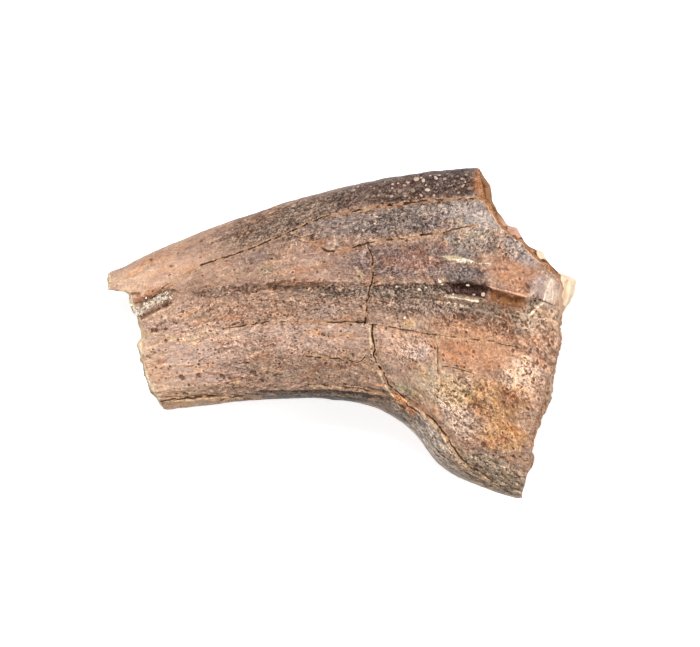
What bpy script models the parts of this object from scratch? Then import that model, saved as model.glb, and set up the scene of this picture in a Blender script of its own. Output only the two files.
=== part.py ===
"""The base half of a meat-eating dinosaur's claw, as a fossil: one piece of bone, broken off at both ends.

It lies on its side. +X runs along the claw from the broken tip end to the broken joint end, +Y points to the
back (convex) edge of the curve, and +Z points up. The origin is at the middle of the footprint, on the table.
All the sizes below are in millimetres.
"""

import math
from collections import namedtuple

import bmesh
import bpy
import numpy as np
from mathutils import Vector, noise
from mathutils.bvhtree import BVHTree

MM = 0.001

# Driving dimensions.
TIP_HALF_THICKNESS = 4.0  # of the claw at the broken tip end
BASE_HALF_THICKNESS = 7.5  # of the claw at the joint end
WORN_DEPTH = 0.14  # how far the swellings on the under side are worn flat, where the claw rests
CORNER_FULLNESS = 2.5  # of a cross section: 2 is an ellipse, and more is nearer to a rectangle
INNER_EDGE_WEIGHT = 1.1  # above 1, a section is fullest nearer to its inner edge than to its back edge
VALLEY_DEPTH = 0.5  # of the wide hollow along both sides, with the groove at its bottom
VALLEY_HALF_WIDTH = 2.6
SKIN_RELIEF = 0.15  # height of the unevenness of the bone's surface
SKIN_RELIEF_SIZE = 4.5
RIM_SHARPNESS = 3.0  # of a broken face towards its rim: 1 is a wedge, and more is a flat face with a bevel
LEDGE_HEIGHT = 0.32  # of the steps on the broken faces
LEDGE_SIZE = 3.2
GRAIN_HEIGHT = 0.35  # of the rough bone on the steps
GRAIN_SIZE = 1.1
CRACK_STEP = 1.3  # distance between the bends of a crack
CRACK_WANDER = 0.24  # how far a crack strays from the straight line between its points

# How finely the solid is divided.
STATIONS = 62  # cross sections along the claw
BACK_STEPS = 9  # from the back edge to the groove, on one side
INNER_STEPS = 9  # from the groove to the inner edge, on one side
FRACTURE_LEVELS = 22  # rows of points through the thickness of a broken face
FRACTURE_COLUMNS = 2  # columns of points for each row of its table

# The claw's cross sections. Each runs from a point on the back edge to one on the inner edge, and the first and
# last lie beyond the breaks. `groove` is how far down the section the groove for the blood vessel lies.
Rib = namedtuple("Rib", "back_x back_y inner_x inner_y half_thickness groove groove_half_width groove_depth")
RIBS = (
    Rib(-28.0, 3.9, -22.8, -8.4, 0.88 * TIP_HALF_THICKNESS, 0.30, 1.0, 1.1),
    Rib(-23.9, 6.1, -18.3, -8.0, TIP_HALF_THICKNESS, 0.27, 0.95, 1.1),
    Rib(-17.5, 9.15, -12.8, -7.4, 4.6, 0.31, 0.65, 0.45),
    Rib(-10.5, 11.85, -6.9, -6.8, 5.2, 0.40, 0.55, 0.3),
    Rib(-3.5, 14.05, -1.2, -6.8, 5.7, 0.46, 0.65, 0.55),
    Rib(3.0, 15.6, 3.6, -7.75, 6.2, 0.485, 0.7, 0.5),
    Rib(7.0, 16.3, 7.3, -10.1, 6.6, 0.46, 0.75, 0.5),
    Rib(10.2, 16.7, 10.3, -13.7, 6.9, 0.41, 0.85, 0.65),
    Rib(14.0, 16.95, 14.8, -16.0, 7.2, 0.40, 0.95, 0.75),
    Rib(19.0, 16.9, 19.0, -17.1, BASE_HALF_THICKNESS, 0.42, 1.0, 0.45),
    Rib(27.0, 16.0, 27.0, -18.5, 1.01 * BASE_HALF_THICKNESS, 0.46, 1.0, 0.1),
)

# Low swellings of the upper side (+1), the under side (-1) or both (0). A negative height is a dent.
Swelling = namedtuple("Swelling", "side x y radius height")
SWELLINGS = (
    Swelling(0, 17.5, -6.0, 4.5, 0.45),  # where the joint began
    Swelling(0, 14.0, -12.5, 3.5, 0.3),  # the knob that the tendon pulled on
    Swelling(0, 9.5, -6.5, 3.2, -0.3),  # between the knob and the blade
    Swelling(0, -9.0, -2.5, 5.0, 0.12),
    Swelling(1, 4.0, 9.5, 4.5, 0.15),
    Swelling(-1, 8.0, 9.8, 4.2, 0.72),  # the claw rests on this one too
)

# The broken faces: where the bone ends at each height, on its upper side, halfway down, and on its under side.
Fracture = namedtuple("Fracture", "y upper middle under")
TIP_BREAK = (
    Fracture(19.0, -23.0, -23.4, -22.6),
    Fracture(6.3, -23.7, -23.9, -22.9),
    Fracture(4.45, -23.6, -23.9, -22.7),
    Fracture(4.25, -21.7, -21.8, -21.0),
    Fracture(2.9, -21.5, -21.7, -21.3),
    Fracture(1.7, -20.5, -20.9, -21.4),
    Fracture(0.5, -20.2, -20.6, -20.7),
    Fracture(-0.7, -19.9, -20.6, -19.7),
    Fracture(-1.2, -20.7, -20.9, -19.6),
    Fracture(-2.6, -20.3, -20.5, -20.0),
    Fracture(-4.1, -20.0, -20.2, -20.4),
    Fracture(-5.5, -19.6, -19.8, -19.9),
    Fracture(-6.7, -18.6, -18.9, -18.3),
    Fracture(-8.1, -18.0, -18.2, -17.3),
    Fracture(-22.0, -17.6, -17.8, -17.0),
)
BASE_BREAK = (
    Fracture(24.0, 13.0, 13.8, 13.4),
    Fracture(16.9, 13.6, 14.0, 13.7),
    Fracture(15.0, 14.0, 15.1, 14.9),
    Fracture(13.5, 14.1, 15.3, 15.9),
    Fracture(12.4, 14.9, 15.9, 16.3),
    Fracture(10.9, 16.0, 16.8, 16.0),
    Fracture(10.7, 16.2, 17.8, 15.8),
    Fracture(9.3, 17.6, 18.5, 15.9),
    Fracture(8.7, 18.3, 19.2, 17.2),
    Fracture(8.3, 18.8, 20.5, 18.6),
    Fracture(7.6, 19.3, 20.8, 19.0),
    Fracture(6.2, 20.6, 21.9, 19.2),
    Fracture(5.5, 21.6, 23.9, 20.4),
    Fracture(4.6, 21.9, 23.9, 21.5),
    Fracture(3.2, 21.8, 23.3, 22.0),
    Fracture(1.6, 21.7, 22.2, 21.4),
    Fracture(-0.7, 21.9, 22.3, 20.3),
    Fracture(-3.2, 21.4, 21.8, 20.9),
    Fracture(-6.9, 20.6, 21.1, 20.8),
    Fracture(-10.3, 19.2, 19.8, 19.3),
    Fracture(-13.6, 18.7, 19.0, 17.9),
    Fracture(-16.7, 18.1, 18.4, 17.2),
    Fracture(-26.0, 17.6, 17.8, 16.8),
)

# The cracks that show from a step away, on the upper side (+1) or the under side (-1), by the points along each.
Crack = namedtuple("Crack", "side width depth points")
CRACKS = (
    Crack(1, 0.3, 0.45, ((-18.3, 4.7), (-13.9, 7.1), (-10.5, 8.1), (-5.2, 10.5), (3.1, 12.8), (8, 13.4), (13.9, 13.7))),
    Crack(1, 0.26, 0.4, ((-5.0, 10.3), (-1.4, 8.3), (0.4, 8.5), (4.3, 9.4), (11.0, 10.4))),
    Crack(1, 0.3, 0.5, ((2.7, 9.0), (3.2, 6.3), (2.5, 1.1))),
    Crack(1, 0.4, 0.6, ((3.1, 1.0), (3.3, -1.6), (4.5, -5.0))),
    Crack(1, 0.36, 0.6, ((4.4, -4.9), (6.1, -6.4), (8.3, -7.8), (10.5, -10.2), (12.7, -13.0))),
    Crack(1, 0.22, 0.35, ((-19.0, -0.3), (-7.7, 1.05), (2.4, 1.05))),
    Crack(1, 0.22, 0.35, ((3.3, 1.0), (9.2, -0.1), (15.3, -1.0))),
    Crack(-1, 0.3, 0.45, ((-17.0, 6.0), (-8.0, 9.6), (1.5, 11.6), (13.0, 12.4))),
    Crack(-1, 0.34, 0.5, ((4.0, 12.0), (3.4, 8.2), (4.6, 4.9))),
    Crack(-1, 0.34, 0.5, ((4.3, 2.2), (5.2, -1.8), (4.3, -5.6))),
    Crack(-1, 0.24, 0.35, ((5.2, -1.2), (11.5, -2.6), (17.0, -2.2))),
)


def between(rows, place):
    """The row at a place between whole rows, on a smooth curve through them all."""
    table = np.array(rows, float)
    first = min(int(place), len(table) - 2)
    part = place - first
    before, start, end, after = (table[min(max(first + k, 0), len(table) - 1)] for k in (-1, 0, 1, 2))
    bend = 2 * before - 5 * start + 4 * end - after
    return start + 0.5 * part * (end - before + part * (bend + part * (3 * (start - end) + after - before)))


def shares_down(groove, half_groove):
    """Shares of the way down a section, from the back edge to the inner one. They lie closer together at both
    edges and across the groove, so that its lips and its floor run along the mesh."""
    upper_lip, lower_lip = groove - half_groove, groove + half_groove
    back = [upper_lip * (1 - math.cos(math.pi / 2 * k / BACK_STEPS)) for k in range(BACK_STEPS)]
    inner = [1 - (1 - lower_lip) * (1 - math.cos(math.pi / 2 * k / INNER_STEPS)) for k in range(INNER_STEPS)]
    across = [groove + half_groove * k / 2 for k in (-2, -1, 0, 1, 2)]
    return [*back, *across, *inner[::-1]]


def half_thickness_at(rib, share, length):
    """Half the claw's thickness at a share of the way down one section."""
    round_to = abs(2 * share**INNER_EDGE_WEIGHT - 1)
    fullness = max(0.0, 1 - round_to**CORNER_FULLNESS) ** (1 / CORNER_FULLNESS)
    away = (share - rib.groove) * length
    hollow = VALLEY_DEPTH * math.exp(-((away / VALLEY_HALF_WIDTH) ** 2))
    hollow += rib.groove_depth * max(0.0, 1 - (away / rib.groove_half_width) ** 2)
    return rib.half_thickness * fullness - hollow * min(1.0, 2 * fullness)


def relief_at(point, side):
    """How far the low swellings stand proud of the section at a point."""
    relief = SKIN_RELIEF * noise.noise(Vector((point.x, 1.6 * point.y, 40 * side)) / SKIN_RELIEF_SIZE)
    for swelling in SWELLINGS:
        if swelling.side != -side:
            away = math.dist(point.xy, (swelling.x, swelling.y)) / swelling.radius
            relief += swelling.height * math.exp(-(away**2))
    return relief


def section_points(rib):
    """The points round one cross section: over the upper side from back edge to inner edge, then back below."""
    back = Vector((rib.back_x, rib.back_y, 0))
    inner = Vector((rib.inner_x, rib.inner_y, 0))
    length = (inner - back).length
    shares = shares_down(rib.groove, rib.groove_half_width / length)
    points = []
    for side, row in ((1, shares), (-1, shares[-2:0:-1])):
        for share in row:
            point = back.lerp(inner, share)
            half = half_thickness_at(rib, share, length)
            half += relief_at(point, side) * min(1.0, half / 2)
            point.z = rib.half_thickness - WORN_DEPTH + side * max(0.0, half)
            points.append(point * MM)
    return points


def close_rings(mesh, rings):
    """Joins rings of points into a closed tube with flat ends."""
    around = len(rings[0])
    for ring, following in zip(rings, rings[1:]):
        for k in range(around):
            mesh.faces.new((ring[k], following[k], following[(k + 1) % around], ring[(k + 1) % around]))
    mesh.faces.new(rings[0])
    mesh.faces.new(rings[-1][::-1])
    bmesh.ops.recalc_face_normals(mesh, faces=mesh.faces)


def whole_claw():
    """The skin of the bone, running on past both breaks, as a closed loft through the ribs."""
    mesh = bmesh.new()
    rings = []
    for station in range(STATIONS):
        rib = Rib(*between(RIBS, (len(RIBS) - 1) * station / (STATIONS - 1)))
        rings.append([mesh.verts.new(point) for point in section_points(rib)])
    close_rings(mesh, rings)
    return mesh


def fracture_relief(spot):
    """How far a broken face stands out at a spot: flat steps down from the highest one, with rough bone on them."""
    steps_up = round(min(0.0, 0.5 + 3.5 * noise.noise(spot / LEDGE_SIZE)))
    return LEDGE_HEIGHT * steps_up + GRAIN_HEIGHT * noise.noise(spot / GRAIN_SIZE)


def fracture_cutter(rows, half_thickness, outwards):
    """A block whose inner side is the broken face. outwards is +1 or -1, the way along X that is cut away."""
    far_side = 40.0
    mesh = bmesh.new()
    columns = FRACTURE_COLUMNS * (len(rows) - 1)
    bmesh.ops.create_grid(mesh, x_segments=columns, y_segments=FRACTURE_LEVELS, size=0.5)
    for vert in mesh.verts:
        place = (vert.co.x + 0.5) * (len(rows) - 1)
        first = min(int(place + 1e-6), len(rows) - 2)
        y, *ends = (a + (place - first) * (b - a) for a, b in zip(rows[first], rows[first + 1]))
        up = 2.4 * vert.co.y
        side_end = ends[0] if up > 0 else ends[2]
        x = ends[1] + (side_end - ends[1]) * min(1.0, abs(up)) ** RIM_SHARPNESS
        z = half_thickness * (1 + up)
        x += outwards * fracture_relief(Vector((outwards * 9.0, y, z)))
        vert.co = Vector((x, y, z)) * MM
    drawn_out = bmesh.ops.extrude_face_region(mesh, geom=mesh.faces[:])
    for item in drawn_out["geom"]:
        if isinstance(item, bmesh.types.BMVert):
            item.co.x = outwards * far_side * MM
    bmesh.ops.recalc_face_normals(mesh, faces=mesh.faces)
    return mesh


def crack_line(points):
    """The points of a crack with bends between them, none of them quite on the straight line."""
    line = []
    for start, end in zip(points, points[1:]):
        start, end = Vector(start), Vector(end)
        bends = max(1, round((end - start).length / CRACK_STEP))
        line += [start.lerp(end, k / bends) for k in range(bends)]
    line.append(Vector(points[-1]))
    return [
        point + CRACK_WANDER * Vector((noise.noise((point.x, point.y, 3)), noise.noise((point.x, point.y, 7))))
        for point in line
    ]


def crack_cutter(crack, skin):
    """A long wedge that follows the skin, with its thin edge `depth` inside it all along the crack."""
    above = 1.2
    line = crack_line(crack.points)
    mesh = bmesh.new()
    rings = []
    for index, here in enumerate(line):
        along = line[min(index + 1, len(line) - 1)] - line[max(index - 1, 0)]
        half_width = crack.width / 2 * (1 + above / crack.depth)
        across = Vector((-along.y, along.x)).normalized() * half_width
        start = Vector((here.x, here.y, crack.side * 30))
        surface = skin.ray_cast(start * MM, Vector((0, 0, -crack.side)))[0].z / MM
        edge = (here.x, here.y, surface - crack.side * crack.depth)
        left = (here.x + across.x, here.y + across.y, surface + crack.side * above)
        right = (here.x - across.x, here.y - across.y, surface + crack.side * above)
        rings.append([mesh.verts.new(Vector(corner) * MM) for corner in (edge, left, right)])
    close_rings(mesh, rings)
    return mesh


def table_cutter():
    """A slab whose top is the table. It wears the lowest swellings flat, so that the claw has faces to rest on."""
    thickness = 10
    mesh = bmesh.new()
    bmesh.ops.create_cube(mesh, size=1)
    bmesh.ops.scale(mesh, verts=mesh.verts, vec=Vector((80, 60, thickness)) * MM)
    bmesh.ops.translate(mesh, verts=mesh.verts, vec=Vector((0, 0, -thickness / 2)) * MM)
    return mesh


def add_collection(name):
    made = bpy.data.collections.new(name)
    bpy.context.scene.collection.children.link(made)
    return made


def add_object(name, shape, collection):
    """An object that holds the shape, in that collection."""
    mesh = bpy.data.meshes.new(name)
    shape.to_mesh(mesh)
    shape.free()
    made = bpy.data.objects.new(name, mesh)
    collection.objects.link(made)
    return made


def add_cutters(collection, skin):
    """Everything that is taken from the whole claw. A render leaves these objects out."""
    add_object("tip break", fracture_cutter(TIP_BREAK, TIP_HALF_THICKNESS, -1), collection)
    add_object("base break", fracture_cutter(BASE_BREAK, BASE_HALF_THICKNESS, 1), collection)
    add_object("table", table_cutter(), collection)
    for number, crack in enumerate(CRACKS):
        add_object(f"crack {number + 1}", crack_cutter(crack, skin), collection)
    for cutter in collection.objects:
        cutter.hide_render = True
        cutter.display_type = "WIRE"


def fossil_bone():
    """Brown fossil bone with a soft shine."""
    material = bpy.data.materials.new("fossil_bone")
    material.use_nodes = True
    surface = material.node_tree.nodes["Principled BSDF"]
    surface.inputs["Base Color"].default_value = (0.33, 0.215, 0.16, 1)
    surface.inputs["Roughness"].default_value = 0.55
    surface.inputs["Metallic"].default_value = 0.0
    return material


def main():
    for old in list(bpy.data.objects):
        bpy.data.objects.remove(old)
    cutters = add_collection("cutters")
    skin = whole_claw()
    add_cutters(cutters, BVHTree.FromBMesh(skin))
    claw = add_object("fossil_claw", skin, add_collection("dinosaur_fossil_claw"))
    claw.data.materials.append(fossil_bone())
    cut = claw.modifiers.new("breaks, cracks and table", "BOOLEAN")
    cut.operation = "DIFFERENCE"
    cut.operand_type = "COLLECTION"
    cut.collection = cutters
    claw.data.shade_smooth()
    claw.data.set_sharp_from_angle(angle=math.radians(40))


main()
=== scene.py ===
"""The base half of a meat-eating dinosaur's claw, as a fossil, lying on its side on a pale table."""

import itertools
import math

import bpy
import numpy as np
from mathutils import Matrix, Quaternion, Vector
from mathutils.bvhtree import BVHTree
from mathutils.kdtree import KDTree


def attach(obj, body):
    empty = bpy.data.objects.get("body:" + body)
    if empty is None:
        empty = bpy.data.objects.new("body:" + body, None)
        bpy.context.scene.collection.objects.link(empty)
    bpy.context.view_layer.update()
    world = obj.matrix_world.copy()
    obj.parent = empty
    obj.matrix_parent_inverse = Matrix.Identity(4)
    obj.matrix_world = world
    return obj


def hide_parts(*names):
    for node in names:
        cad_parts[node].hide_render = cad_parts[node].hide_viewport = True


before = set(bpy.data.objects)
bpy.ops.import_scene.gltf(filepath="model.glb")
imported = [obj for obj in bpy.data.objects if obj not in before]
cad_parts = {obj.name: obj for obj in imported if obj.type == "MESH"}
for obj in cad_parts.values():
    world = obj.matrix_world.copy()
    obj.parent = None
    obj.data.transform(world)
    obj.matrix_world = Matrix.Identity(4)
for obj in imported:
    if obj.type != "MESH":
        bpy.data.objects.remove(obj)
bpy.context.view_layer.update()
MM = 0.001

# ---------------------------------------------------------------------------------------------------------------
# The bone. One piece of fossil bone: a dense skin over a spongy core, cracked, and broken off at both ends. It is
# copied from the CAD solid, divided finely, smoothed, and carved with its grain, pits, cracks and rough breaks.

# Lines across the claw, from its back edge to its inner edge: back x, back y, inner x and inner y, in millimetres,
# as all sizes of the bone are. The grain runs from line to line.
GRAIN_LINES = np.array((
    (-28.0, 3.9, -22.8, -8.4),
    (-23.9, 6.1, -18.3, -8.0),
    (-17.5, 9.15, -12.8, -7.4),
    (-10.5, 11.85, -6.9, -6.8),
    (-3.5, 14.05, -1.2, -6.8),
    (3.0, 15.6, 3.6, -7.75),
    (7.0, 16.3, 7.3, -10.1),
    (10.2, 16.7, 10.3, -13.7),
    (14.0, 16.95, 14.8, -16.0),
    (19.0, 16.9, 19.0, -17.1),
    (27.0, 16.0, 27.0, -18.5),
))
VOXEL = 0.155  # how finely the copy is first divided
MOST_TRIANGLES = 196_000
SMOOTH_ROUNDS = 10
TIP_BREAK, JOINT_BREAK = -16.5, 12.5  # the broken faces lie beyond these places along X


def grain_line_at(place):
    """The lines across the claw at places between the whole lines, on smooth curves through them all."""
    first = np.clip(place.astype(int), 0, len(GRAIN_LINES) - 2)
    part = (place - first)[:, None]
    around = [GRAIN_LINES[np.clip(first + step, 0, len(GRAIN_LINES) - 1)] for step in (-1, 0, 1, 2)]
    before, start, end, after = around
    bend = 2 * before - 5 * start + 4 * end - after
    return start + 0.5 * part * (end - before + part * (bend + part * (3 * (start - end) + after - before)))


def grain_places(points):
    """Where each point lies in the grain: how far along the claw, in millimetres, and the share of the way down."""
    place = np.interp(points[:, 0], (GRAIN_LINES[:, 0] + GRAIN_LINES[:, 2]) / 2, np.arange(len(GRAIN_LINES)))
    share = np.full(len(points), 0.5)
    for _ in range(9):
        line, next_line = grain_line_at(place), grain_line_at(place + 0.01)
        down = line[:, 2:4] - line[:, 0:2]
        here = line[:, 0:2] + share[:, None] * down
        onward = (next_line[:, 0:2] + share[:, None] * (next_line[:, 2:4] - next_line[:, 0:2]) - here) / 0.01
        miss = points[:, :2] - here
        spread = onward[:, 0] * down[:, 1] - onward[:, 1] * down[:, 0]
        ahead = (miss[:, 0] * down[:, 1] - miss[:, 1] * down[:, 0]) / spread
        lower = (onward[:, 0] * miss[:, 1] - onward[:, 1] * miss[:, 0]) / spread
        place = np.clip(place + ahead, 0, len(GRAIN_LINES) - 1.02)
        share = np.clip(share + lower, -0.1, 1.1)
    middles = (GRAIN_LINES[:, 0:2] + GRAIN_LINES[:, 2:4]) / 2
    lengths = np.concatenate(((0,), np.cumsum(np.linalg.norm(np.diff(middles, axis=0), axis=1))))
    return np.interp(place, np.arange(len(GRAIN_LINES)), lengths), share


def chance(cells, seed):
    """A fixed random number from 0 to 1 for each cell of whole numbers."""
    mixed = cells @ np.array((73856093, 19349663, 83492791)) + seed * 26544357
    mixed = (mixed ^ (mixed >> 13)) * 1274126177 & 0x7FFFFFFF
    return ((mixed ^ (mixed >> 15)) & 0xFFFF) / 0xFFFF


def lumps(points, size, seed):
    """Soft random unevenness from -1 to 1, with lumps of that size along each axis."""
    cells = points / np.array(size)
    low = np.floor(cells).astype(np.int64)
    part = cells - low
    part = part * part * (3 - 2 * part)
    total = np.zeros(len(points))
    for corner in itertools.product((0, 1), repeat=3):
        total += np.prod(np.where(corner, part, 1 - part), axis=1) * chance(low + corner, seed)
    return 2 * total - 1


def ease(value, low, high):
    """0 below low, 1 above high and a soft step between them."""
    part = np.clip((value - low) / (high - low), 0, 1)
    return part * part * (3 - 2 * part)


def apply_modifier(piece, kind, **settings):
    """Adds a modifier with these settings and applies it."""
    modifier = piece.modifiers.new(kind.lower(), kind)
    for name, value in settings.items():
        setattr(modifier, name, value)
    bpy.context.view_layer.objects.active = piece
    bpy.ops.object.modifier_apply(modifier=modifier.name)


def read_points(piece):
    """The places and normals of the mesh's points, in millimetres."""
    places = np.empty(3 * len(piece.data.vertices), np.float32)
    normals = np.empty_like(places)
    piece.data.vertices.foreach_get("co", places)
    piece.data.vertices.foreach_get("normal", normals)
    return places.reshape(-1, 3).astype(float) / MM, normals.reshape(-1, 3).astype(float)


def write_points(piece, places):
    piece.data.vertices.foreach_set("co", (places * MM).astype(np.float32).ravel())
    piece.data.update()


bpy.ops.object.select_all(action="DESELECT")
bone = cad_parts["fossil_claw"].copy()
bone.data = bone.data.copy()
bone.name = bone.data.name = "claw_bone"
bone.parent = None
bone.matrix_world.identity()
bpy.context.scene.collection.objects.link(bone)
bone.select_set(True)
bpy.context.view_layer.objects.active = bone
bpy.ops.object.mode_set(mode="EDIT")
bpy.ops.mesh.select_all(action="SELECT")
bpy.ops.mesh.remove_doubles(threshold=1e-6)
bpy.ops.object.mode_set(mode="OBJECT")

# The dense skin is every face that doesn't look out along the claw at its ends, nor stand on edge there.
solid = bone.data
centres = np.array([face.center for face in solid.polygons]) / MM
normals = np.array([face.normal for face in solid.polygons])
_, shares = grain_places(centres)
at_ends = (centres[:, 0] < TIP_BREAK) | (centres[:, 0] > JOINT_BREAK)
upright = (np.abs(normals[:, 2]) < 0.35) & (shares > 0.06) & (shares < 0.94)
broken_faces = at_ends & ((np.abs(normals[:, 0]) > 0.55) | upright)
solid_points = [vertex.co for vertex in solid.vertices]
solid_faces = [list(face.vertices) for face in solid.polygons]
skin_tree = BVHTree.FromPolygons(solid_points, list(itertools.compress(solid_faces, ~broken_faces)))
broken_tree = BVHTree.FromPolygons(solid_points, list(itertools.compress(solid_faces, broken_faces)))

apply_modifier(bone, "REMESH", mode="VOXEL", voxel_size=VOXEL * MM, use_smooth_shade=True)


def distance_from(tree, points, elsewhere):
    """How far each point near an end is from the tree's faces, in millimetres."""
    distance = np.full(len(points), elsewhere)
    for index in np.flatnonzero((points[:, 0] < TIP_BREAK + 0.5) | (points[:, 0] > JOINT_BREAK - 0.5)):
        distance[index] = tree.find_nearest(Vector(points[index]) * MM)[3] / MM
    return distance


places, normals = read_points(bone)
skin_group = bone.vertex_groups.new(name="skin")
for index in np.flatnonzero(distance_from(broken_tree, places, 9.0) > 0.35):
    skin_group.add((int(index),), 1.0, "REPLACE")
apply_modifier(bone, "SMOOTH", factor=0.5, iterations=SMOOTH_ROUNDS, vertex_group="skin")

# The cracks: the side, which is 1 for the upper and -1 for the under side; width and depth; how much of it is filled;
# and the points along it.
CRACKS = (
    (1, 0.2, 0.25, 0.65, ((-18.3, 4.6), (-15.9, 6.1), (-13.9, 7.1), (-12.3, 7.6), (-10.5, 8.2))),
    (1, 0.22, 0.25, 0.35, ((-10.5, 8.2), (-7.9, 9.1), (-6.6, 9.7), (-5.2, 10.4))),
    (1, 0.22, 0.25, 0.5, ((-5.2, 10.4), (-3.8, 11.0), (-1.9, 11.8), (-0.1, 12.2), (3.1, 12.8), (5.0, 13.0),
                          (8.0, 13.4), (10.3, 13.5), (13.9, 13.7))),
    (1, 0.22, 0.22, 0.5, ((-5.2, 10.4), (-3.9, 9.7), (-2.8, 9.1), (-1.4, 8.3), (0.4, 8.5), (2.0, 8.9), (2.9, 9.2),
                          (4.2, 9.4), (6.0, 9.5), (8.0, 9.9), (10.2, 10.2), (11.6, 10.6), (13.7, 11.0))),
    (1, 0.18, 0.22, 0.38, ((2.6, 8.9), (3.1, 7.7), (3.2, 6.2), (3.0, 4.9), (2.7, 3.4))),
    (1, 0.24, 0.3, 0.3, ((2.7, 3.4), (2.5, 2.2), (2.4, 1.0))),
    (1, 0.21, 0.35, 0.2, ((3.1, 0.8), (3.2, -0.7), (3.4, -1.7), (3.2, -2.2), (3.7, -3.2), (4.0, -3.6))),
    (1, 0.18, 0.25, 0.5, ((4.0, -3.6), (4.5, -4.6), (4.8, -5.3), (5.2, -5.6))),
    (1, 0.18, 0.26, 0.4, ((5.2, -5.6), (6.1, -6.3), (7.4, -7.3), (8.5, -8.1), (9.5, -8.95), (10.4, -10.1),
                          (11.1, -11.1), (11.7, -12.15), (12.4, -13.0), (13.0, -13.5))),
    (1, 0.19, 0.2, 0.5, ((-11.8, 0.5), (-7.7, 1.1), (-3.0, 1.15), (2.4, 1.1))),
    (1, 0.15, 0.16, 0.4, ((3.1, 0.9), (3.9, 0.85), (5.8, 0.4), (9.3, -0.1))),
    (1, 0.14, 0.12, 0.62, ((9.3, -0.1), (12.6, -0.6), (15.3, -0.9), (18.4, -1.6))),
    (1, 0.16, 0.16, 0.4, ((-3.6, -2.4), (-2.2, -2.5), (-0.4, -2.6), (1.7, -3.0), (2.5, -2.3))),
    (1, 0.2, 0.2, 0.3, ((-18.9, -7.1), (-17.3, -6.8), (-15.6, -6.7), (-13.5, -6.5), (-8.3, -6.6))),
    (1, 0.13, 0.1, 0.62, ((9.3, 1.5), (9.3, -0.3), (9.7, -1.4), (9.8, -3.5), (10.1, -4.9), (9.9, -5.8))),
    (1, 0.14, 0.12, 0.3, ((10.4, -3.4), (12.0, -3.6), (13.1, -4.0))),
    (1, 0.16, 0.16, 0.4, ((-3.6, -5.2), (-0.2, -5.5), (1.9, -5.7), (5.5, -6.7), (8.0, -8.1))),
    (-1, 0.28, 0.4, 0.35, ((-17.0, 6.0), (-12.6, 8.1), (-8.0, 9.6), (-3.1, 10.8), (1.5, 11.6), (7.4, 12.2),
                           (13.0, 12.4))),
    (-1, 0.3, 0.45, 0.15, ((4.0, 12.0), (3.7, 10.0), (3.4, 8.2), (4.1, 6.4), (4.6, 4.9))),
    (-1, 0.3, 0.45, 0.15, ((4.3, 2.2), (4.8, 0.3), (5.2, -1.8), (4.6, -3.7), (4.3, -5.6))),
    (-1, 0.22, 0.3, 0.4, ((5.2, -1.2), (8.2, -2.2), (11.5, -2.6), (14.4, -2.1), (17.0, -2.2))),
)
BEND_LENGTH = 0.3  # between the small bends of a crack or a mark

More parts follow.
